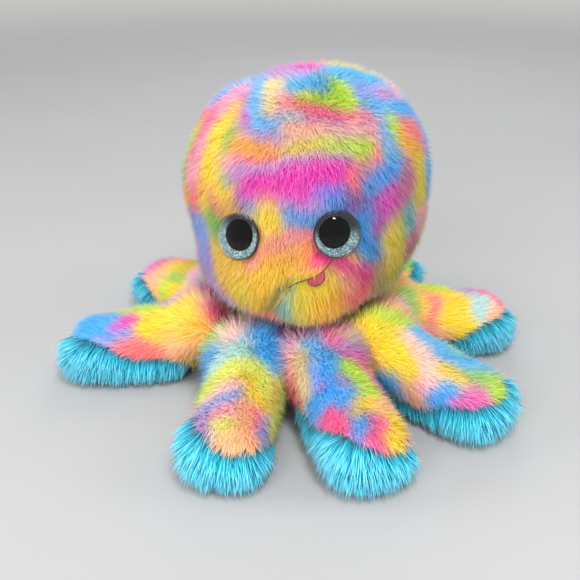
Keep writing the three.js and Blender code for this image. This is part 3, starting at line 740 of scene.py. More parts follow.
# %% Strokes on the arms
arm_strokes = [
    ("left front tip", "blue", 11, (84, 316), (102, 315), (94, 330)),
    ("left front deep blue", "deep", 6, (92, 322), (100, 334)),
    ("left front purple", "magenta", 6, (116, 325), (130, 318)),
    ("left front dark", "blue", 5, (106, 338), (120, 333)),
    ("left front yellow", "yellow", 12, (150, 320), (172, 316), (190, 311)),
    ("left front orange", "gold", 11, (168, 330), (190, 328)),
    ("left front peach", "peach", 8, (172, 346), (190, 342)),
    # Painted light: these roots lie in the head's shade, so they take paler dyes than the cloth's own,
    # lightened to stand in for light.
    ("left front red", "rose", 7, (216, 308), (224, 318)),
    ("left front pink root", "blush", 5, (213, 300), (220, 303)),
    ("left front coral", "coral", 7, (120, 344), (138, 350), (154, 357)),
    ("left front lilac", "lilac", 5, (98, 342), (106, 348)),
    ("left front lime edge", "lime", 3, (112, 305), (134, 306), (152, 305)),
    ("left rear tip", "lilac", 5, (152, 262), (160, 255)),
    ("left rear rose", "rose", 3, (156, 264), (161, 260)),
    ("left rear peach", "peach", 5, (156, 276), (168, 262)),
    ("left rear yellow", "yellow", 5, (172, 264), (186, 270)),
    ("left rear green", "green", 3, (172, 274), (186, 277)),
    ("left rear gold", "yellow", 7, (172, 290), (190, 290)),
    ("left rear mist", "periwinkle", 4, (200, 284), (206, 292)),
    ("left rear pink edge", "pink", 4, (192, 272), (202, 280)),
    # Painted light: these roots lie in the head's shade, so they take paler dyes than the cloth's own,
    # lightened to stand in for light.
    ("front left root", "blush", 8, (248, 320), (232, 333)),
    ("front left purple", "periwinkle", 5, (262, 316), (274, 321)),
    ("front left blue", "blue", 12, (266, 332), (276, 342), (270, 354)),
    ("front left blue low", "blue", 8, (282, 356), (282, 368)),
    ("front left mist", "mist", 6, (240, 342), (226, 351), (216, 360)),
    ("front left lime arc", "pear", 6, (254, 360), (234, 362), (216, 374), (202, 392)),
    ("front left lime right", "pear", 8, (260, 370), (264, 382)),
    ("front left yellow", "yellow", 7, (248, 374), (254, 390), (262, 398)),
    ("front left olive", "gold", 6, (278, 380), (280, 400)),
    ("front left side", "pear", 7, (284, 372), (285, 388), (284, 404)),
    ("front left olive low", "pear", 6, (280, 412), (276, 426)),
    ("front left pink band", "blush", 5, (238, 379), (222, 385), (208, 396)),
    ("front left periwinkle", "periwinkle", 5, (238, 390), (220, 394), (205, 404)),
    ("front left rose", "pink", 4, (236, 406), (222, 407), (212, 411)),
    ("front left lilac", "lilac", 5, (200, 412), (200, 424)),
    ("front left green", "pear", 4, (214, 418), (230, 419)),
    ("front left peach", "peach", 7, (246, 402), (250, 416), (246, 428)),
    ("front left coral dot", "rose", 4, (259, 410), (260, 420)),
    ("front left blue dot", "periwinkle", 4, (267, 420), (266, 430)),
    ("front left tip", "peach", 5, (240, 440), (252, 438)),
    ("front right root", "rose", 8, (304, 322), (318, 318), (328, 326)),
    ("front right root pink", "rose", 6, (326, 334), (330, 340)),
    ("front right magenta", "magenta", 6, (344, 314), (358, 320)),
    ("front right mist", "mist", 4, (340, 324), (358, 331)),
    ("front right green", "lime", 3, (336, 330), (350, 336)),
    ("front right lilac", "lilac", 4, (344, 343), (360, 346)),
    ("front right pink seam", "magenta", 4, (346, 351), (364, 356)),
    ("front right blue", "sky", 9, (314, 342), (330, 354)),
    ("front right blue middle", "blue", 11, (326, 366), (330, 386), (316, 400)),
    ("front right blue side", "periwinkle", 6, (316, 366), (314, 384)),
    ("front right blue right", "blue", 7, (344, 390), (340, 400)),
    ("front right purple dot", "magenta", 4, (319, 388), (325, 381)),
    ("front right pink dot", "lilac", 5, (340, 374), (344, 380)),
    ("front right lime", "lime", 11, (352, 364), (364, 376), (372, 386)),
    ("front right yellow", "yellow", 6, (358, 402), (372, 400)),
    ("front right peach", "peach", 6, (384, 402), (396, 406)),
    ("front right gold", "yellow", 9, (402, 418), (398, 434)),
    ("front right coral", "rose", 10, (330, 412), (332, 426), (342, 438)),
    ("front right blue low", "blue", 8, (362, 420), (356, 434)),
    ("front right rose", "rose", 8, (379, 420), (374, 436)),
    ("front right left edge", "cream", 4, (300, 352), (301, 372), (303, 392)),
    ("right front root", "coral", 5, (374, 304), (386, 306)),
    ("right front lime", "lime", 8, (384, 316), (400, 320)),
    ("right front yellow", "yellow", 16, (384, 336), (396, 352), (402, 366)),
    ("right front orange", "peach", 6, (402, 386), (412, 396)),
    ("right front pink", "blush", 8, (408, 334), (422, 348), (428, 364), (428, 380)),
    ("right front pink low", "pink", 5, (420, 392), (424, 386)),
    ("right front sky", "sky", 7, (420, 333), (436, 343), (450, 354), (466, 362)),
    ("right front gold", "yellow", 6, (446, 367), (458, 376)),
    ("right front teal", "green", 4, (474, 374), (486, 382)),
    ("right front lime tip", "lime", 6, (492, 386), (500, 396)),
    ("right front blue", "blue", 8, (448, 391), (432, 400), (440, 406)),
    ("right front magenta", "flamingo", 10, (478, 394), (470, 406), (456, 411)),
    ("right rear green", "leaf", 10, (403, 298), (410, 308)),
    ("right rear olive", "gold", 9, (424, 304), (424, 316)),
    ("right rear rose line", "rose", 4, (437, 302), (432, 324)),
    ("right rear yellow", "yellow", 15, (456, 304), (452, 320), (464, 324)),
    ("right rear mist", "mist", 6, (484, 298), (481, 316)),
    ("right rear peach tip", "peach", 4, (496, 306), (494, 318)),
    ("right rear lilac", "lilac", 3, (468, 286), (476, 288)),
]
print("strokes:", len(head_strokes), "on the head,", len(arm_strokes), "on the arms")

# %% Find what the camera sees at a pixel
pixel_size = view_distance / focal_pixels
near_miss = 0.03
search = np.arange(0.45, 0.95, 0.01)  # distances from the camera at which a near miss is looked for


def tree_of(places):
    """A closed grid as a tree for rays."""
    mesh = grid_mesh("pile tips", places)
    corners, faces = [v.co.copy() for v in mesh.vertices], [tuple(p.vertices) for p in mesh.polygons]
    bpy.data.meshes.remove(mesh)
    return BVHTree.FromPolygons(corners, faces)


body_skins = {"head": tree_of(head_bag + outward * pile_depth)}
for arm in arm_names:
    body_skins[f"{arm}_arm"] = tree_of(lay_arm(arm_bag + arm_out * arm_inset, arm))


def first_seen(x, y, bodies):
    """The body that the camera sees at a pixel, and where. A near miss gives the place nearest to it."""
    way = sight(x, y)
    found = (9.0, None, None)
    for body in bodies:
        spot, _, _, run = body_skins[body].ray_cast(camera_place, way)
        if spot is not None and run < found[0]:
            found = (run, body, np.array(spot))
    if found[1] is None:
        found = (near_miss, None, None)
        for body in bodies:
            for distance in search:
                spot, _, _, gap = body_skins[body].find_nearest(camera_place + way * distance)
                if gap < found[0]:
                    found = (gap, body, np.array(spot))
    return found[1:]


print("one pixel is", round(pixel_size * 1000, 2), "mm wide at the toy")

# %% Cast the strokes onto the toy
stroke_step = 6  # pixels


def cast(strokes, bodies_of):
    """Turns strokes in pixels into paths in space: body, path, half width and dye."""
    cast_paths = []
    for name, dye, half, *pixels in strokes:
        fine = []
        for (x0, y0), (x1, y1) in zip(pixels[:-1], pixels[1:]):
            parts = max(1, round(math.hypot(x1 - x0, y1 - y0) / stroke_step))
            fine += [(x0 + (x1 - x0) * k / parts, y0 + (y1 - y0) * k / parts) for k in range(parts)]
        found = {}
        for x, y in [*fine, pixels[-1]]:
            body, place = first_seen(x, y, bodies_of(name))
            if body:
                found.setdefault(body, []).append(place)
        if not found:
            print("stroke missed the toy:", name)
        for body, places in found.items():
            places = np.array(places if len(places) > 1 else places * 2)
            if np.allclose(places[0], places[-1]):
                places = np.array([places[0], places[0] + (0, 0, 1e-4)])
            cast_paths.append((body, places, half * pixel_size, dyes[dye]))
    return cast_paths


def arm_named(stroke):
    """The body of the arm whose name a stroke's name starts with."""
    return [next(f"{arm}_arm" for arm in arm_names if stroke.startswith(arm.replace("_", " ")))]


paths = cast(head_strokes, lambda name: ["head"]) + cast(arm_strokes, arm_named)
print("paths:", len(paths))

# %% Strokes where the photograph doesn't reach
chance = np.random.default_rng(20)
dye_names = ["sky", "blue", "periwinkle", "lilac", "magenta", "magenta", "rose", "pink", "coral", "peach",
             "orange", "yellow", "yellow", "yellow", "lime", "green", "sky"]
turned_away, over_skin, roundness, slant = -0.05, 0.004, 0.8, 0.8
least_length, half_widths = 0.3, (0.25, 0.55)  # shares of the longest stroke, and of the spacing


def hidden_strokes(body, places, outward, spacing, longest):
    """Adds seeded strokes on the parts of a body that the camera can't see."""
    drawn = [p for b, path, *_ in paths if b == body for p in path]
    to_camera = unit(np.array(camera_place) - places)
    facing = (to_camera * outward).sum(-1)
    others = [tree for b, tree in body_skins.items() if b != body]
    added, last = 0, None
    for i in chance.permutation(len(places)):
        here = places[i]
        blocked = facing[i] < turned_away
        if not blocked:
            start, way = Vector(here + outward[i] * over_skin), Vector(to_camera[i])
            blocked = any(tree.ray_cast(start, way)[0] is not None for tree in others)
        if not blocked or (drawn and np.linalg.norm(np.array(drawn) - here, axis=1).min() < spacing):
            continue
        sideways = unit(np.cross(outward[i], (chance.normal() * slant, chance.normal() * slant, 1)))
        span = sideways * chance.uniform(least_length, 1) * longest
        sunk = outward[i] * (span @ span) / roundness
        path = np.array([here - span / 2 - sunk, here, here + span / 2 - sunk])
        name = chance.choice(dye_names)
        while name == last:
            name = chance.choice(dye_names)
        last = name
        paths.append((body, path, chance.uniform(*half_widths) * spacing, dyes[name]))
        drawn += list(path)
        added += 1
    return added


def flat(grid):
    """A grid's points in one list."""
    return grid.reshape(-1, 3)


added = hidden_strokes("head", flat(head_skin), flat(outward), spacing=0.017, longest=0.05)
print("hidden strokes on the head:", added)
for arm in arm_names:
    laid, laid_out = lay_arm(flat(arm_skin), arm), flat(arm_out) @ arm_frames[f"{arm}_arm"][1]
    top = laid_out[:, 2] > -0.2
    added += hidden_strokes(f"{arm}_arm", laid[top], laid_out[top], spacing=0.015, longest=0.03)
print("hidden strokes in all:", added)

# %% Blend the strokes
warp_reach, warp_size, run_length = 0.0035, 70, 0.0035
fine_warp = 3.1, 0.4  # how much finer the second noise is, and its share of the reach


def swirls(places, scale):
    """A noise of directions at each place."""
    return np.array([noise.noise_vector(Vector(p) * scale) for p in places])


def dyed(body, places):
    """The colour of a body at each place: the nearest strokes, run together and bent by noise."""
    finer, share_of_reach = fine_warp
    spots = places + swirls(places, warp_size) * warp_reach
    spots = spots + swirls(places, warp_size * finer) * warp_reach * share_of_reach
    total, weight = np.zeros((len(places), 3)), np.zeros((len(places), 1))
    gaps = [(path_gap(spots, path) - half, dye) for b, path, half, dye in paths if b == body]
    nearest = np.min([g for g, _ in gaps], axis=0)
    for gap, dye in gaps:
        share = np.exp(-(gap - nearest) / run_length)[:, None]
        total += share * dye
        weight += share
    return total / weight


print("a dye runs into the next over", run_length * 1000, "mm")

# %% [markdown]
# ## The colour of a strand
#
# Each strand carries the dye of its root. Deep in the pile it is painted darker, a painted shade, its
# tip is painted a little paler, a painted highlight, and no two strands took up the dye alike. One
# small group of nodes does this for all kinds of strand, so the pile and the shag differ only in the
# numbers that they give it.

# %% Shader group for strands
strand_group, given, given_back, _ = new_group(
    "strand colour", "ShaderNodeTree",
    {"Dye": ("Color", None), "Along": ("Float", None), "Tone": ("Float", None),
     "Root Shade": ("Float", 0.5), "Tip Highlight": ("Float", 0.2), "Spread": ("Float", 0.2)},
    {"Color": ("Color", None)})
t = strand_group
# Painted shade darkens each strand towards its root, and a painted highlight pales its tip towards near
# white.
shaded_up_to, tip_power, highlight_tint = 0.7, 2.5, (1, 0.98, 0.96, 1)
shade = put(t, "ShaderNodeMapRange", {"Value": given["Along"], "From Max": shaded_up_to,
                                      "To Min": given["Root Shade"]}, interpolation_type="SMOOTHSTEP")
tone = maths(t, "MULTIPLY_ADD", given["Tone"], given["Spread"], 1)
darker = vectors(t, "SCALE", given["Dye"], Scale=maths(t, "MULTIPLY", shade.outputs["Result"], tone))
some = put(t, "ShaderNodeMapRange", {"Value": given["Tone"], "From Min": -0.4, "To Max": 2.2})
tips = maths(t, "MULTIPLY", maths(t, "POWER", given["Along"], tip_power), some.outputs["Result"])
highlighted = put(t, "ShaderNodeMix", {"Factor": maths(t, "MULTIPLY", tips, given["Tip Highlight"]),
                                 "A": darker, "B": highlight_tint}, data_type="RGBA")
t.links.new(highlighted.outputs["Result"], given_back["Color"])
print("strand colour:", len(t.nodes), "nodes")


# %% Strand materials
def strand_material(name, root_shade, tip_highlight, spread, **constants):
    """A strand material that reads the dye, the way along and the tone of each strand."""
    material, tree, shader = new_material(name, **constants)
    inputs = {"Root Shade": root_shade, "Tip Highlight": tip_highlight, "Spread": spread}
    for socket, output in (("Dye", "Color"), ("Along", "Fac"), ("Tone", "Fac")):
        inputs[socket] = put(tree, "ShaderNodeAttribute", attribute_name=socket.lower()).outputs[output]
    colour = put(tree, "ShaderNodeGroup", inputs, node_tree=strand_group).outputs["Color"]
    tree.links.new(colour, shader["Base Color"])
    return material


# Root shade 0.95 and 0.3 are painted shade deep in the pile and in the shag; 0.18 and 0.2 are painted
# highlights on their tips.
pile_material = strand_material("dyed pile", 0.95, 0.18, 0.22, Roughness=0.7, Sheen_Weight=0.03,
                                Specular_IOR_Level=0.05)
shag_material = strand_material("turquoise shag", 0.3, 0.2, 0.42, Roughness=0.5, Sheen_Weight=0.15,
                                Specular_IOR_Level=0.3)
print("strand materials:", pile_material.name, "and", shag_material.name)

# %% [markdown]
# ## A strand and a lock
#
# A strand of pile is thin, thickest at its root and leans over. Hair curves would be the usual way
# to make fur, but this part has to travel as plain meshes, so each strand is a closed sliver of four
# faces. The shag on the soles is made of longer, thicker locks, which need a bend. A few variants of
# each, picked at random, keep the pile from looking combed by a machine.

# %% Strand patterns
sides = 3


def strand(name, rings, bend, sway):
    """A closed sliver one metre long that starts upright and bends over towards x.

    rings: (share of the length, share of the width); a width of nought is a point.
    """
    points, faces, alongs, previous = [], [], [], []
    for share, width in rings:
        centre = np.array((bend * share ** 2, sway * math.sin(share * math.pi) * 0.5,
                           share * (1 - 0.3 * bend * share)))
        ring = []
        for k in range(sides if width else 1):
            angle = 2 * math.pi * k / sides
            ring.append(len(points))
            points.append(centre + np.array((math.cos(angle), math.sin(angle), 0)) * width / 2)
            alongs.append(share)
        if not previous:
            faces.append(ring[::-1])
        for k in range(sides if previous else 0):
            j = (k + 1) % sides
            if len(ring) == 1:
                faces.append((previous[k], previous[j], ring[0]))
            else:
                faces += [(previous[k], previous[j], ring[j]), (previous[k], ring[j], ring[k])]
        previous = ring
    mesh = bpy.data.meshes.new(name)
    mesh.from_pydata([tuple(p) for p in points], [], faces, shade_flat=False)
    mesh.attributes.new("along", "FLOAT", "POINT").data.foreach_set("value", alongs)
    return mesh


def strand_set(name, rings, bends):
    """A collection of bent variants that the strands are picked from."""
    chosen = bpy.data.collections.new(name)
    for k, (bend, sway) in enumerate(bends):
        variant = f"{name}_{k}"
        chosen.objects.link(bpy.data.objects.new(variant, strand(variant, rings, bend, sway)))
    return chosen


pile_set = strand_set("pile_strands", [(0, 1), (1, 0)], [(0.35, 0.1), (0.6, -0.15), (0.5, 0.2), (0.2, -0.1)])
shag_set = strand_set("shag_locks", [(0, 0.9), (0.55, 1), (1, 0)],
                      [(0.7, 0.3), (0.95, -0.4), (0.8, 0.45), (1.1, -0.15)])

# %% [markdown]
# ## Planting strands
#
# One tree of Geometry Nodes plants both kinds. It scatters points over the cloth, leans each strand
# between straight out and the direction in which the cloth is brushed, and ruffles them in tufts with
# a noise. The brushing, the dye and the length are painted on the cloth as attributes first. Random
# numbers have a fixed seed, so the same toy comes out each time. What would reach through the floor
# is bent up afterwards.
#
# Light passes between real fibres and through them, so pile is shaded more like the cloth it grows
# from than like a heap of solid needles. Each strand therefore remembers which way its cloth faces,
# and its own normals are bent towards that way. Fully transparent strands would be softer still, but
# slow to render and of no use once they are carried elsewhere.

# %% Geometry Nodes tree for strands: where each one stands and leans
plant, given, given_back, plant_ids = new_group(
    "plant strands", "GeometryNodeTree",
    {"Geometry": ("Geometry", None), "Density": ("Float", 800000.0), "Length": ("Float", 0.012),
     "Width": ("Float", 0.0007), "Stand": ("Float", 0.8), "Droop": ("Float", 0.2),
     "Ruffle": ("Float", 0.4), "Ruffle Scale": ("Float", 90.0), "Stray": ("Float", 0.15),
     "Seed": ("Int", 1), "Strands": ("Collection", None), "Material": ("Material", None)},
    {"Geometry": ("Geometry", None)})
t = plant
seeded = {"Seed": given["Seed"]}


def painted(name, kind):
    """What is painted on the cloth under a name."""
    return put(t, "GeometryNodeInputNamedAttribute", {"Name": name}, data_type=kind).outputs["Attribute"]


thick = maths(t, "MULTIPLY", given["Density"], painted("grow", "FLOAT"))
scatter = put(t, "GeometryNodeDistributePointsOnFaces",
              {"Mesh": given["Geometry"], "Density": thick, **seeded}, distribute_method="RANDOM").outputs
ruffle = put(t, "ShaderNodeTexNoise", {"Vector": put(t, "GeometryNodeInputPosition").outputs[0],
                                       "Scale": given["Ruffle Scale"]}).outputs["Color"]
tuft = vectors(t, "SCALE", vectors(t, "SUBTRACT", ruffle, (0.5, 0.5, 0.5)), Scale=given["Ruffle"])
stray = put(t, "FunctionNodeRandomValue", {0: (-1, -1, -1), 1: (1, 1, 1), **seeded}, data_type="FLOAT_VECTOR")
loose = vectors(t, "SCALE", stray.outputs[0], Scale=given["Stray"])
upright = vectors(t, "SCALE", scatter["Normal"], Scale=given["Stand"])
comb = painted("comb", "FLOAT_VECTOR")
lean = vectors(t, "ADD", vectors(t, "ADD", upright, comb), vectors(t, "ADD", tuft, loose))
aim = put(t, "FunctionNodeAlignRotationToVector", {"Vector": lean}, axis="Z")
weight = put(t, "ShaderNodeCombineXYZ", {2: maths(t, "MULTIPLY", given["Droop"], -1)}).outputs[0]
bends_to = vectors(t, "ADD", vectors(t, "ADD", comb, loose), weight)
roll = put(t, "FunctionNodeAlignRotationToVector", {"Rotation": aim.outputs["Rotation"], "Vector": bends_to},
           axis="X", pivot_axis="Z")
print("standing and leaning:", len(t.nodes), "nodes")

# %% Geometry Nodes tree for strands: how large each one is, and what it remembers
def made_real(tree, instances, material, given_back):
    """Ends a tree of Geometry Nodes: its instances become plain meshes of one material."""
    real = put(tree, "GeometryNodeRealizeInstances", {"Geometry": instances}).outputs["Geometry"]
    coated = put(tree, "GeometryNodeSetMaterial", {"Geometry": real, "Material": material})
    tree.links.new(coated.outputs["Geometry"], given_back["Geometry"])


def remembered(geometry, name, value, kind):
    """Stores a value on each strand."""
    return put(t, "GeometryNodeStoreNamedAttribute", {"Name": name, "Geometry": geometry, "Value": value},
               data_type=kind, domain="INSTANCE").outputs["Geometry"]


shortest, tallest = 0.62, 1.16
vary = put(t, "FunctionNodeRandomValue", {2: shortest, 3: tallest, **seeded}, data_type="FLOAT").outputs[1]
tall = maths(t, "MULTIPLY", maths(t, "MULTIPLY", vary, painted("reach", "FLOAT")), given["Length"])
sizes = put(t, "ShaderNodeCombineXYZ", {0: given["Width"], 1: given["Width"], 2: tall})
patterns = put(t, "GeometryNodeCollectionInfo", {"Collection": given["Strands"], "Separate Children": True,
                                                 "Reset Children": True})
place = put(t, "GeometryNodeInstanceOnPoints", {
    "Points": scatter["Points"], "Instance": patterns.outputs["Instances"], "Pick Instance": True,
    "Rotation": roll.outputs["Rotation"], "Scale": sizes.outputs[0]}).outputs["Instances"]
differ = put(t, "FunctionNodeRandomValue", {2: -1, 3: 1, **seeded}, data_type="FLOAT").outputs[1]
place = remembered(place, "tone", differ, "FLOAT")
place = remembered(place, "cloth_way", scatter["Normal"], "FLOAT_VECTOR")
made_real(t, place, given["Material"], given_back)
print("tree:", len(t.nodes), "nodes")


# %% Helpers that turn trees and modifiers into plain pieces
def kept_mesh(holder, name):
    """An object's mesh with its modifiers applied. The object and its own mesh are removed."""
    mesh = bpy.data.meshes.new_from_object(holder.evaluated_get(bpy.context.evaluated_depsgraph_get()))
    bare = holder.data
    bpy.data.objects.remove(holder)
    bpy.data.meshes.remove(bare)
    mesh.name = name
    return mesh


def grown(name, mesh, tree, ids, inputs):
    """The mesh that a tree of Geometry Nodes makes from another mesh."""
    holder = placed(name + " holder", mesh)
    modifier = holder.modifiers.new("tree", "NODES")
    modifier.node_group = tree
    for key, value in inputs.items():
        modifier[ids[key.replace("_", " ")]] = value
    return kept_mesh(holder, name)


def dressed(piece, body, slot, *nodes, fill=None):
    """Ties a piece to its body, and hides the solids of the frame that it stands for."""
    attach(piece, body)
    if nodes:
        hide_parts(*nodes)
    return piece


def points_of(mesh):
    """A mesh's points."""
    return numbers(mesh.vertices, "co").astype(float)


def normals_of(mesh):
    """The way out at each point of a mesh."""
    return numbers(mesh.vertex_normals, "vector").astype(float)


def centres_of(mesh):
    """The middles of a mesh's faces."""
    return numbers(mesh.polygons, "center").astype(float)


# %% Plant strands on a cloth and keep them as a plain mesh
floor_touch, floor_gap = 0.004, 0.0004  # where strands begin to bend up, and how near the floor they come
pile_softness, shag_softness = 0.55, 0.35  # how much of a strand's shading follows the cloth


def planted(name, cloth, body, slot, softness, **inputs):
    """Runs the tree on a cloth mesh and returns the strands as one piece that rides on a body."""
    mesh = grown(name, cloth, plant, plant_ids, inputs)
    places = numbers(mesh.vertices, "co")
    levels = places[:, 2]
    near = levels < floor_touch
    room = floor_touch - floor_gap
    levels[near] = floor_gap + room * np.exp((levels[near] - floor_touch) / room)
    mesh.vertices.foreach_set("co", places.ravel())
    mesh.update()
    cloth_ways = numbers(mesh.attributes["cloth_way"].data, "vector")
    mesh.attributes.remove(mesh.attributes["cloth_way"])
    softened = unit(normals_of(mesh) * (1 - softness) + cloth_ways * softness)
    mesh.normals_split_custom_set_from_vertices(softened)
    return dressed(placed(name, mesh), body, slot)


pile_growth = dict(Stand=0.6, Ruffle_Scale=95.0, Stray=0.34, Strands=pile_set, Material=pile_material)
head_growth = dict(pile_growth, Density=1780000.0, Length=0.012, Width=0.00062, Ruffle=0.34)
arm_growth = dict(pile_growth, Density=1620000.0, Length=0.0124, Width=0.00063, Ruffle=0.38)
shag_growth = dict(Density=1080000.0, Length=0.0265, Width=0.00078, Stand=0.38, Droop=2.5, Ruffle=0.75,
                   Ruffle_Scale=130.0, Stray=0.24, Strands=shag_set, Material=shag_material)
print("length of pile:", head_growth["Length"] * 1000, "mm, of shag:", shag_growth["Length"] * 1000, "mm")

# %% [markdown]
# ## Cloth of the head
#
# The fine cloth that carries the strands is the bag after one subdivision. Each of its points gets
# its dye, its brushing and its length of pile. On the face the pile is brushed away from the eyes and
# from the mouth, and is trimmed short beside them, or it would grow over them.

# %% Helpers for painted cloth
def subdivided(name, places):
    """The bag's grid as a mesh after one step of subdivision."""
    holder = placed(name, grid_mesh(name, places))
    level = holder.modifiers.new("round", "SUBSURF")
    level.levels = level.render_levels = 1
    return kept_mesh(holder, name)


layer_kinds = {"FLOAT_COLOR": ("color", 4), "FLOAT_VECTOR": ("vector", 3), "FLOAT": ("value", 1)}


def painted_on(mesh, name, kind, values):
    """Stores one layer of values on a mesh's points."""
    layer = mesh.attributes.new(name, kind, "POINT")
    layer.data.foreach_set(layer_kinds[kind][0], values.ravel())


def paint(mesh, **layers):
    """Stores numbers, directions or colours on a mesh's points."""
    for name, values in layers.items():
        if name == "dye":
            painted_on(mesh, name, "FLOAT_COLOR", np.concatenate([values, np.ones((len(values), 1))], 1))
        else:
            painted_on(mesh, name, "FLOAT_VECTOR" if values.ndim == 2 else "FLOAT", values)


def part_of(mesh, name, chosen):
    """A new mesh from the chosen faces, with what is painted on them."""
    points = points_of(mesh)
    faces = [tuple(p.vertices) for p, wanted in zip(mesh.polygons, chosen) if wanted]
    used = sorted({i for f in faces for i in f})
    index = {old: new for new, old in enumerate(used)}
    part = bpy.data.meshes.new(name)
    part.from_pydata([tuple(points[i]) for i in used], [], [tuple(index[i] for i in f) for f in faces],
                     shade_flat=False)
    for layer in mesh.attributes:
        if layer.name in ("dye", "comb", "grow", "reach"):
            values = numbers(layer.data, *layer_kinds[layer.data_type])
            painted_on(part, layer.name, layer.data_type, values[used])
    part.update()
    return part


def along_surface(ways, outward):
    """The part of each direction that lies along the surface."""
    return ways - outward * (ways * outward).sum(-1, keepdims=True)


# %% Eyes, found from the frame
def disc_frame(node):
    """The middle and the axis of a flat round solid."""
    points = np.unique(points_of(frame["nodes"][node].data).round(6), axis=0)
    middle = points.mean(0)
    axis = np.linalg.svd(points - middle)[2][2]
    return middle, axis * np.sign(axis @ (middle - head_middle))


eye_frames = {side: disc_frame(f"{side}_eye_pupil") for side in ("left", "right")}
print({side: (m.round(4).tolist(), a.round(3).tolist()) for side, (m, a) in eye_frames.items()})

# %% Brush and trim the head's cloth
swirl_scale, swirl_share = 22, 0.55
chin_trim, fringe_growth = 0.3, 0.3
eye_ring = 0.045  # how far from an eye's middle the brushing round it reaches
head_cloth = subdivided("head cloth", head_bag)
spots, outs = points_of(head_cloth), normals_of(head_cloth)
levels = spots[:, 2]
brush = along_surface(np.tile((0, 0, -1.0), (len(spots), 1)), outs)
brush += along_surface(swirls(spots, swirl_scale), outs) * swirl_share
trim = chin_trim + (1 - chin_trim) * smooth_step((levels - 0.079) / 0.016)
fringe = smooth_step((0.12 - levels) / 0.02) * smooth_step((levels - 0.084) / 0.01) * (spots[:, 1] < 0)
trim *= 1 + fringe_growth * fringe
bare = np.ones(len(spots))
for middle, axis in eye_frames.values():
    off = spots - middle
    off = off - axis * (off @ axis)[:, None]
    distance = np.linalg.norm(off, axis=1)
    near = np.linalg.norm(spots - middle, axis=1) < eye_ring
    below = smooth_step(0.6 - (off[:, 2] / np.maximum(distance, 1e-6)))
    away = bell(distance - 0.016, 0.009) * near * (0.3 + 0.7 * below)
    brush += along_surface(unit(off), outs) * away[:, None] * 1.3
    trim *= 1 - 0.5 * bell(distance - 0.014, 0.007) * near * below
    brow = bell(distance - 0.0185, 0.0045) * near * (1 - below)
    trim *= 1 - 0.3 * brow
    bare *= np.where(near & (distance < 0.0170), 0.0, 1.0)
nearest = mouth_crease[np.linalg.norm(spots[:, None] - mouth_crease[None], axis=-1).argmin(1)]
parted = 2.0 * bell(path_gap(spots, mouth_path), 0.011) + 0.4 * bell(path_gap(spots, foot_path), 0.007)
brush += along_surface(unit(spots - nearest), outs) * parted[:, None]
trim *= 1 - 0.75 * bell(path_gap(spots, mouth_path), 0.0075)
print("cloth of the head:", len(spots), "points, trimmed down to", round(float(trim.min()), 2))

# %% Paint the head's cloth
tip_height = 0.006  # how far over the cloth the tips of the pile show their dye
head_look = spots + outs * tip_height + unit(brush) * 0.005
above = smooth_step((levels - 0.05) / 0.01)
paint(head_cloth, dye=dyed("head", head_look), comb=unit(brush) * 0.75, grow=bare * above, reach=trim)
print("longest pile:", round(float(trim.max()), 2), "of the usual length")

# %% [markdown]
# ## Cloth shells
#
# Under its pile the cloth is knitted backing, about two millimetres thick. The bag is split along its
# seams into the pieces it was sewn from, and each gets its thickness inwards. They stand for the
# plain covers of the frame.

# %% Backing material
def raised(tree, shader, height, distance):
    """Gives a material a relief of the height given."""
    bump = put(tree, "ShaderNodeBump", {"Height": height, "Distance": distance})
    tree.links.new(bump.outputs["Normal"], shader["Normal"])


backing, tree, shader = new_material("knitted backing", Roughness=0.95, Sheen_Weight=0.2)
loops = put(tree, "ShaderNodeTexVoronoi", {"Vector": coordinates(tree), "Scale": 700}).outputs["Distance"]
dim = put(tree, "ShaderNodeMapRange", {"Value": loops, "To Min": 1.0, "To Max": 0.7}).outputs["Result"]
dye = put(tree, "ShaderNodeAttribute", attribute_name="dye").outputs["Color"]
tree.links.new(vectors(tree, "SCALE", dye, Scale=dim), shader["Base Color"])
raised(tree, shader, loops, 0.0003)
print("backing:", len(tree.nodes), "nodes")

# %% Sew a shell
cloth_thickness = 0.0016


def thickened(name, mesh, thickness):
    """A sheet with its thickness added inwards."""
    holder = placed(name + " sheet", mesh)
    wall = holder.modifiers.new("thickness", "SOLIDIFY")
    wall.thickness, wall.offset = thickness, -1
    return placed(name, kept_mesh(holder, name))


def shell(name, cloth, chosen, body, node):
    """One sewn piece of cloth with its thickness, standing for a solid of the frame."""
    sheet = part_of(cloth, name, chosen)
    sheet.materials.append(backing)
    return dressed(thickened(name, sheet, cloth_thickness), body, "backing", node, fill=0.8)


def panel_of(middles):
    """The panel of the head that each place lies on: -1 left, 0 centre, 1 right."""
    return np.where(seam_gap(middles) < 0, 0, np.sign(middles[:, 0] - head_middle[0]))


head_rough = grid_mesh("head sewn", head_bag)
paint(head_rough, dye=dyed("head", points_of(head_rough) + normals_of(head_rough) * tip_height))
middles = centres_of(head_rough)
over_rim, panel = middles[:, 2] > rim_level, panel_of(middles)
for name, chosen, node in (("centre_panel", over_rim & (panel == 0), "head_centre_panel"),
                           ("left_panel", over_rim & (panel < 0), "head_left_panel"),
                           ("right_panel", over_rim & (panel > 0), "head_right_panel"),
                           ("base_cloth", ~over_rim, "base_panel")):
    made = shell(name, head_rough, chosen, "head", node)
    print(name, len(made.data.polygons), "faces")

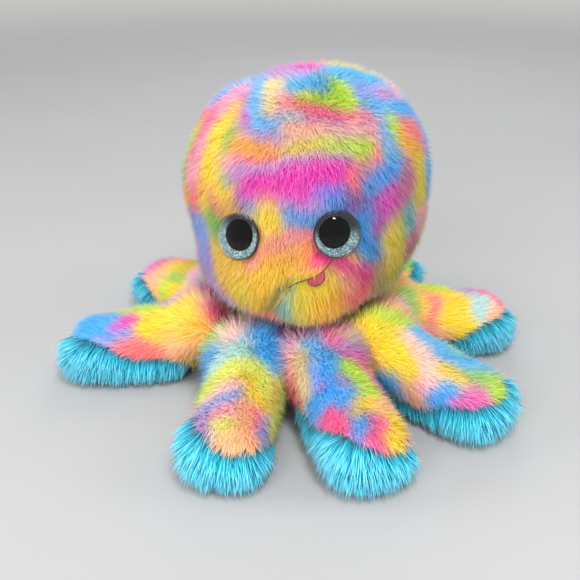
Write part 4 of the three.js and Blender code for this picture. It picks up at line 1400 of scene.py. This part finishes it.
# %% Plant the head's pile
head_seed = 11
fine = centres_of(head_cloth)
panel, fine_up = panel_of(fine), fine[:, 2] > 0.05
crown, low, front = fine[:, 2] > 0.222, fine[:, 2] < 0.15, fine[:, 1] < 0
pile_pieces = {"brow_pile": (panel == 0) & ~crown & ~low & front, "muzzle_pile": (panel == 0) & low & front,
               "crown_pile": (panel == 0) & crown, "back_pile": (panel == 0) & ~crown & ~low & ~front,
               "nape_pile": (panel == 0) & low & ~front, "left_pile": panel < 0, "right_pile": panel > 0}
for order, (name, chosen) in enumerate(pile_pieces.items()):
    cloth = part_of(head_cloth, name + " cloth", chosen & fine_up)
    made = planted(name, cloth, "head", "pile", pile_softness, Seed=head_seed + order, **head_growth)
    print(name, len(made.data.polygons), "faces")

# %% [markdown]
# ## Arms
#
# Each arm has a pile cover over its back and a shag sole that wraps up its sides and round its tip.
# The pile is brushed towards the tip, the shag hangs outwards and down and lies flat where the arm
# rests on the table. All eight take the same bag, but their own dye and their own seed.

# %% The seam between cover and sole
seam_level, tip_seam_level, climb_from, climb_length = 0.024, 0.036, 0.07, 0.04
seam_reach, seam_round = 0.125, 0.026  # where the seam crosses the back, and how far its ends fall back
seam_tilts = {"front_left": -0.22, "front_right": -0.25, "left_front": 0.25, "right_front": 0.15}
half_width = 0.03


def on_sole(mesh, tilt):
    """The faces of an arm's cloth on its sole, under a seam that rises across the arm by its tilt."""
    middles = centres_of(mesh)
    climb = smooth_step((middles[:, 0] - climb_from) / climb_length)
    risen = tilt * middles[:, 1]
    reach = seam_reach - seam_round * (middles[:, 1] / half_width) ** 2 - 1.4 * risen
    level = seam_level + (tip_seam_level - seam_level) * climb + risen
    return (middles[:, 2] < level) | (middles[:, 0] > reach)


print("the seam climbs from", seam_level * 1000, "to", tip_seam_level * 1000, "mm")

# %% Brush the pattern of the arm
arm_cloths = {"fine": subdivided("arm cloth", arm_bag), "rough": grid_mesh("arm sewn", arm_bag)}
spots, outs = points_of(arm_cloths["fine"]), normals_of(arm_cloths["fine"])


def brushed(way):
    """A direction along the arm's cloth at each of its points."""
    return along_surface(np.tile(way, (len(spots), 1)), outs)


tip_brush = brushed((1.0, 0, -0.15))
sideways = spots * (0, 1, 0) / half_width
hang = along_surface(np.tile((0.25, 0, -1.0), (len(spots), 1)) + sideways * 0.15, outs)
hang += brushed((0.3, 0, -0.9)) * smooth_step((spots[:, 0] - 0.1) / 0.03)[:, None]
underside = smooth_step((-outs[:, 2] - 0.55) / 0.3)
near_root = 1 - smooth_step((spots[:, 0] - 0.02) / 0.025)
root_thin = smooth_step((spots[:, 0] + 0.004) / 0.024)
low_trim = 0.55 + 0.45 * smooth_step((spots[:, 2] - 0.004) / 0.018)
shag_grow = (1 - 0.85 * underside) * root_thin
shag_reach = (1 - 0.3 * underside) * (0.45 + 0.55 * root_thin) * low_trim
print("cloth of an arm:", len(spots), "points")

# %% Paint and plant each arm
arm_swirl, pile_seed, shag_seed = 25, 31, 51
for order, arm in enumerate(arm_names):
    body, axes = f"{arm}_arm", arm_frames[f"{arm}_arm"][1]
    soles = {key: on_sole(mesh, seam_tilts.get(arm, 0)) for key, mesh in arm_cloths.items()}
    cloths = {}
    for key, source in (*arm_cloths.items(), ("shag", arm_cloths["fine"])):
        cloths[key] = source.copy()
        cloths[key].vertices.foreach_set("co", lay_arm(points_of(source), arm).ravel())
        cloths[key].update()
    laid, laid_out = lay_arm(spots, arm), outs @ axes
    swirl = swirls(laid, arm_swirl)
    ruffled = along_surface(swirl, laid_out)
    comb = unit((tip_brush @ axes) + ruffled * 0.45) * (1 - 0.6 * near_root[:, None])
    arm_dye = dyed(body, laid + laid_out * tip_height + comb * 0.004)
    paint(cloths["fine"], dye=arm_dye, comb=comb * 0.8, grow=np.ones(len(laid)), reach=1 + 0.8 * near_root)
    paint(cloths["rough"], dye=arm_dye[:len(cloths["rough"].vertices)])
    paint(cloths["shag"], dye=shag_dye * (1 + 0.12 * swirl[:, :1]),
          comb=unit((hang @ axes) + ruffled * 0.25) * 1.1, grow=shag_grow, reach=shag_reach)
    for part, wanted in (("cover", ~soles["rough"]), ("sole", soles["rough"])):
        shell(f"{arm}_{part}", cloths["rough"], wanted, body, f"{arm}_arm_{part}")
    pile = planted(f"{arm}_pile", part_of(cloths["fine"], arm, ~soles["fine"]), body, "pile", pile_softness,
                   Seed=pile_seed + order, **arm_growth)
    shag = planted(f"{arm}_shag", part_of(cloths["shag"], arm, soles["fine"]), body, "shag", shag_softness,
                   Seed=shag_seed + order, **shag_growth)
    print(arm, len(pile.data.polygons), "faces of pile,", len(shag.data.polygons), "of shag")

# %% [markdown]
# ## Stuffing
#
# Polyester fibre fills the bags. None of it shows, but a part that is cut open or simulated needs
# something inside its covers, so each bag gets a core just inside its cloth, finished as matted fibre.

# %% Stuffing
fibre, tree, shader = new_material("polyester fibre", Roughness=1.0, Sheen_Weight=0.3)
wisps = grain(tree, 180, Detail=6, Distortion=1.5, Low=0.7, High=0.95)
tree.links.new(wisps["Shade"], shader["Base Color"])
raised(tree, shader, wisps["Grain"], 0.001)
inside_cloth = 0.0006


def stuffing(name, places, body, node):
    """A core of fibre just inside a bag."""
    core = grid_mesh(name, places - grid_normals(places) * (cloth_thickness + inside_cloth))
    core.materials.append(fibre)
    dressed(placed(name, core), body, "stuffing", node, fill=0.8)


stuffing("head_fill", head_bag, "head", "head_stuffing")
for arm in arm_names:
    stuffing(f"{arm}_fill", lay_arm(arm_bag, arm), f"{arm}_arm", f"{arm}_arm_stuffing")
print("stuffed bags:", 1 + len(arm_names))

# %% [markdown]
# ## Eyes
#
# Each eye is a clear domed lens over a black pupil and a ring of glitter, fixed to a backplate. The
# frame has them with few faces. Turned from the same profiles with many, they catch the light as one
# smooth round.

# %% Turned pieces
round_steps = 64


def turned(name, profile, side, moved=(0.0, 0.0)):
    """A closed solid turned from (radius, height) pairs round an eye's axis, moved aside and up."""
    middle, axis = eye_frames[side]
    across = unit(np.cross((0, 0, 1.0), axis))
    up = np.cross(axis, across)
    middle = middle + across * moved[0] + up * moved[1]
    points, faces, previous = [], [], None
    for radius, height in profile:
        ring = []
        for k in range(round_steps if radius else 1):
            angle = 2 * math.pi * k / round_steps
            ring.append(len(points))
            points.append(middle + axis * height + (across * math.cos(angle) + up * math.sin(angle)) * radius)
        for k in range(round_steps if previous else 0):
            j = (k + 1) % round_steps
            corners = (previous[k % len(previous)], previous[j % len(previous)],
                       ring[j % len(ring)], ring[k % len(ring)])
            faces.append(list(dict.fromkeys(corners)))
        previous = ring
    mesh = bpy.data.meshes.new(name)
    mesh.from_pydata([tuple(p) for p in points], [], [f for f in faces if len(f) > 2], shade_flat=False)
    mesh.update()
    return placed(name, mesh)


print("each round has", round_steps, "steps")

# %% Pupil and plastic
pupil_paint, tree, shader = new_material("black pupil", Roughness=0.5, Specular_IOR_Level=0.0)
tree.links.new(grain(tree, 900, Low=0.0004, High=0.0016)["Shade"], shader["Base Color"])
black_plastic, tree, shader = new_material("black plastic", Roughness=0.4)
tree.links.new(grain(tree, 500, Low=0.008, High=0.016)["Shade"], shader["Base Color"])
print("finishes:", pupil_paint.name, "and", black_plastic.name)

# %% Glitter
glitter, tree, shader = new_material("blue glitter", Roughness=0.35, Metallic=0.1)
# Painted shade: the glitter is painted darker towards its top, nearly black, where the brow's pile shades the
# ring.
shade_full_above, shade_starts_below = 0.160, 0.149  # levels between which the glitter darkens
flakes = put(tree, "ShaderNodeTexVoronoi", {"Vector": coordinates(tree), "Scale": 1500}).outputs["Color"]
split = put(tree, "ShaderNodeSeparateColor", {0: flakes}).outputs
tints = put(tree, "ShaderNodeValToRGB", {"Fac": split[0]})
ramp = tints.color_ramp
ramp.elements[0].position, ramp.elements[0].color = 0.0, (*linear("3c5a60"), 1)
ramp.elements[1].position, ramp.elements[1].color = 1.0, (*linear("d4e8e4"), 1)
ramp.elements.new(0.7).color = (*linear("6f979e"), 1)
height = put(tree, "ShaderNodeSeparateXYZ", {0: coordinates(tree)}).outputs["Z"]
# painted shadow of the brow over the top of the ring
brow_shade = put(tree, "ShaderNodeMapRange", {"Value": height, "From Min": shade_starts_below, "From Max": shade_full_above,
                                         "To Min": 1.0, "To Max": 0.05}, interpolation_type="SMOOTHSTEP")
shaded_glitter = vectors(tree, "SCALE", tints.outputs["Color"], Scale=brow_shade.outputs["Result"])
tree.links.new(shaded_glitter, shader["Base Color"])
raised(tree, shader, split[1], 0.0005)
print("glitter:", len(tree.nodes), "nodes")

# %% Lens
lens_clear, tree, shader = new_material("clear lens", Roughness=0.02, Transmission_Weight=1.0, IOR=1.1,
                                        Coat_Weight=1.0, Coat_Roughness=0.02, Coat_IOR=1.22)
tree.links.new(grain(tree, 300, Low=0.97, High=1.0)["Shade"], shader["Base Color"])
pick = put(tree, "ShaderNodeMixShader", {
    "Fac": put(tree, "ShaderNodeLightPath").outputs["Is Shadow Ray"],
    1: tree.nodes["Principled BSDF"].outputs[0], 2: put(tree, "ShaderNodeBsdfTransparent").outputs[0]})
tree.links.new(pick.outputs[0], tree.nodes["Material Output"].inputs["Surface"])
print("the lens casts no shadow on the pupil")

# %% Fit the eyes
eye_radius, foot_radius, pupil_radius, glitter_radius = 0.0165, 0.0163, 0.0109, 0.0151
lens_foot, dome_foot, dome_rise = -0.0016, 0.0008, 0.0075
pupil_moves = {"left": (0.0018, 0.0018), "right": (-0.0024, 0.0021)}
dome = [(eye_radius * math.cos(a), dome_foot + dome_rise * math.sin(a))
        for a in np.radians(np.arange(6, 90, 6))]
eye_parts = (  # piece, solid, slot, finish and profile
    ("lens", "eye_lens", "lens", lens_clear,
     [(0, dome_foot), (0.0155, dome_foot), (0.0155, lens_foot), (foot_radius, lens_foot),
      (eye_radius, lens_foot + 0.0003), (eye_radius, dome_foot), *dome, (0, dome_foot + dome_rise)]),
    ("pupil", "eye_pupil", "pupil", pupil_paint,
     [(0, -0.0004), (0.0106, -0.0004), (pupil_radius, -0.0001), (pupil_radius, 0.0002), (0.0106, 0.0004),
      (0, 0.0005)]),
    ("glitter", "eye_glitter_disc", "glitter", glitter,
     [(0, -0.0016), (glitter_radius, -0.0016), (glitter_radius, -0.001), (0.0149, -0.0008), (0, -0.0008)]),
    ("plate", "eye_backplate", "plastic", black_plastic,
     [(0, -0.0036), (foot_radius, -0.0036), (0.0166, -0.0033), (0.0166, -0.0022), (foot_radius, -0.002),
      (0, -0.002)]))
for side in ("left", "right"):
    for part, node, slot, finish, profile in eye_parts:
        moved = pupil_moves[side] if part == "pupil" else (0.0, 0.0)
        piece = turned(f"{side}_{part}", profile, side, moved)
        piece.data.materials.append(finish)
        dressed(piece, "head", slot, f"{side}_{node}")
    for material_slot in frame["nodes"][f"{side}_eye_washer"].material_slots:
        material_slot.material = black_plastic
print("pieces in each eye:", len(eye_parts))

# %% [markdown]
# ## Mouth and tongue
#
# The mouth is a line of satin stitches in dark pink thread, and a half-round felt tongue with a sewn
# edge hangs from it. The stitches follow a curve and repeat, which is work for Geometry Nodes.

# %% Thread and felt
def mottled(tree, shader, grains, first, second):
    """Colours a material between two tints by its grain."""
    tint = put(tree, "ShaderNodeMix", {"Factor": grains["Grain"], "A": (*linear(first), 1),
                                       "B": (*linear(second), 1)}, data_type="RGBA")
    tree.links.new(tint.outputs["Result"], shader["Base Color"])


# The thread is dark pink, and its two tints are painted darker still, as painted shade of the crease that the
# mouth lies in.
thread, tree, shader = new_material("pink thread", Roughness=0.6, Sheen_Weight=0.3)
mottled(tree, shader, grain(tree, 1200), "581022", "8a2038")
felt, tree, shader = new_material("coral felt", Roughness=0.95, Sheen_Weight=0.4)
nap = grain(tree, 1400, Detail=5)
mottled(tree, shader, nap, "a02c38", "bc454d")
raised(tree, shader, nap["Grain"], 0.0002)
print("finishes:", thread.name, "and", felt.name)

# %% Stitching tree
stitch, given, given_back, stitch_ids = new_group(
    "sew stitches", "GeometryNodeTree",
    {"Geometry": ("Geometry", None), "Spacing": ("Float", 0.0006), "Length": ("Float", 0.0024),
     "Width": ("Float", 0.0008), "Slant": ("Float", 0.9), "Material": ("Material", None)},
    {"Geometry": ("Geometry", None)})
t = stitch
line = put(t, "GeometryNodeMeshToCurve", {"Mesh": given["Geometry"]}).outputs["Curve"]
holes = put(t, "GeometryNodeResampleCurve", {"Curve": line, "Length": given["Spacing"]}, mode="LENGTH")
bead = put(t, "GeometryNodeMeshUVSphere", {"Segments": 6, "Rings": 5, "Radius": 0.5}).outputs["Mesh"]
follow = put(t, "FunctionNodeAlignRotationToVector", {
    "Vector": put(t, "GeometryNodeInputTangent").outputs[0]}, axis="Z").outputs[0]
angles = put(t, "ShaderNodeCombineXYZ", {0: given["Slant"]}).outputs[0]
lean_over = put(t, "FunctionNodeEulerToRotation", {0: angles}).outputs[0]
slanted = put(t, "FunctionNodeRotateRotation", {"Rotation": follow, "Rotate By": lean_over},
              rotation_space="LOCAL").outputs[0]
sizes = put(t, "ShaderNodeCombineXYZ", {0: given["Width"], 1: given["Width"], 2: given["Length"]}).outputs[0]
sewn = put(t, "GeometryNodeInstanceOnPoints", {"Points": holes.outputs["Curve"], "Instance": bead,
                                               "Rotation": slanted, "Scale": sizes})
made_real(t, sewn.outputs["Instances"], given["Material"], given_back)


def stitched(name, path, *nodes, **inputs):
    """Sews stitches along a path and keeps them as a plain mesh on the head."""
    mesh = bpy.data.meshes.new(name + " path")
    mesh.from_pydata([tuple(p) for p in path], [(i, i + 1) for i in range(len(path) - 1)], [])
    sewn_mesh = grown(name, mesh, stitch, stitch_ids, dict(inputs, Material=thread))
    return dressed(placed(name, sewn_mesh), "head", "thread", *nodes)


print("stitching tree:", len(t.nodes), "nodes")

# %% Sew the mouth
thread_height, search_from = 0.005, 0.05
cloth_tree = BVHTree.FromPolygons([Vector(p) for p in points_of(head_cloth)],
                                  [tuple(p.vertices) for p in head_cloth.polygons])


def on_cloth(place, height):
    """A place moved along the camera's sight until it lies at a height over the head's cloth."""
    way = Vector(unit(np.array(camera_place) - place))
    spot = cloth_tree.ray_cast(Vector(place) + way * search_from, -way)[0]
    return np.array(spot + way * height)


bow = np.linspace(0, 1, len(mouth_path))
mouth_bow = 0.003 * bow ** 6 - 0.0022 * np.sin(math.pi * bow ** 1.3)
camera_up = np.array(camera_turn @ Vector((0, 1, 0)))
sewn_path = np.array([on_cloth(p, thread_height) for p in mouth_path + camera_up * mouth_bow[:, None]])
for _ in range(4):
    sewn_path[1:-1] = (sewn_path[:-2] + 2 * sewn_path[1:-1] + sewn_path[2:]) / 4
mouth = stitched("mouth_line", sewn_path, "mouth_stitching", Spacing=0.0006, Length=0.0026, Width=0.0011,
                 Slant=0.4)
print("mouth:", len(mouth.data.polygons), "faces along", len(sewn_path), "places")

# %% Where the tongue hangs
tongue_half, tongue_long, tongue_thick = 0.0066, 0.0066, 0.002
hangs_at = 6  # the place along the mouth that it hangs from
top_middle = sewn_path[hangs_at]
tongue_along = unit(sewn_path[hangs_at + 2] - sewn_path[hangs_at - 2])
tongue_out = unit(on_cloth(top_middle - (0, 0, 0.004), 0.0045) - head_middle * (1, 1, 0.75))
tongue_out = unit(tongue_out - tongue_along * (tongue_out @ tongue_along))
tongue_down = np.cross(tongue_out, tongue_along)
tongue_down *= -np.sign(tongue_down[2])


def on_tongue(angle, share, lift):
    """A place on the half-round tongue."""
    return (top_middle + tongue_along * math.cos(angle) * tongue_half * share
            + tongue_down * math.sin(angle) * tongue_long * share + tongue_out * lift)


print("tongue:", round(tongue_half * 2000, 1), "x", round(tongue_long * 1000, 1), "mm")

# %% Cut and sew the tongue
rings, count = 6, 20
points = [top_middle + tongue_out * 0.001]
for ring in range(1, rings + 1):
    share = ring / rings
    lift = 0.0022 * (1 - share ** 2) + 0.0002
    points += [on_tongue(math.pi * k / count, share, lift) for k in range(count + 1)]
faces = [(0, 1 + k, 2 + k) for k in range(count)]
for ring in range(rings - 1):
    a, b = 1 + ring * (count + 1), 1 + (ring + 1) * (count + 1)
    faces += [(a + k, b + k, b + k + 1, a + k + 1) for k in range(count)]
mesh = bpy.data.meshes.new("tongue sheet")
mesh.from_pydata([tuple(p) for p in points], [], faces, shade_flat=False)
mesh.update()
if np.mean([np.array(p.normal) @ tongue_out for p in mesh.polygons]) < 0:
    mesh.flip_normals()
mesh.materials.append(felt)
tongue = dressed(thickened("tongue_felt", mesh, tongue_thick), "head", "felt", "tongue")
edge = [on_tongue(angle, 1, 0.0006) for angle in np.linspace(0, math.pi, 24)]
stitched("tongue_edge", edge, Spacing=0.0005, Length=0.0014, Width=0.0006, Slant=1.1)
print("tongue:", len(tongue.data.polygons), "faces")

# %% [markdown]
# ## Measuring up
#
# Pile may stand a little proud of the frame but must not change the toy's size, so the box of the
# frame and the box of the finished toy are written down side by side.

# %% Sizes
toy_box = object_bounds()
for corner, before, after in zip(("low", "high"), cad_box, toy_box):
    print(corner, "corner moved by", [round((b - a) * 1000, 1) for a, b in zip(before, after)], "mm")
meshes = [piece.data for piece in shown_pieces()]
print("pieces:", len(meshes), "triangles:", sum(len(m.loops) - 2 * len(m.polygons) for m in meshes))
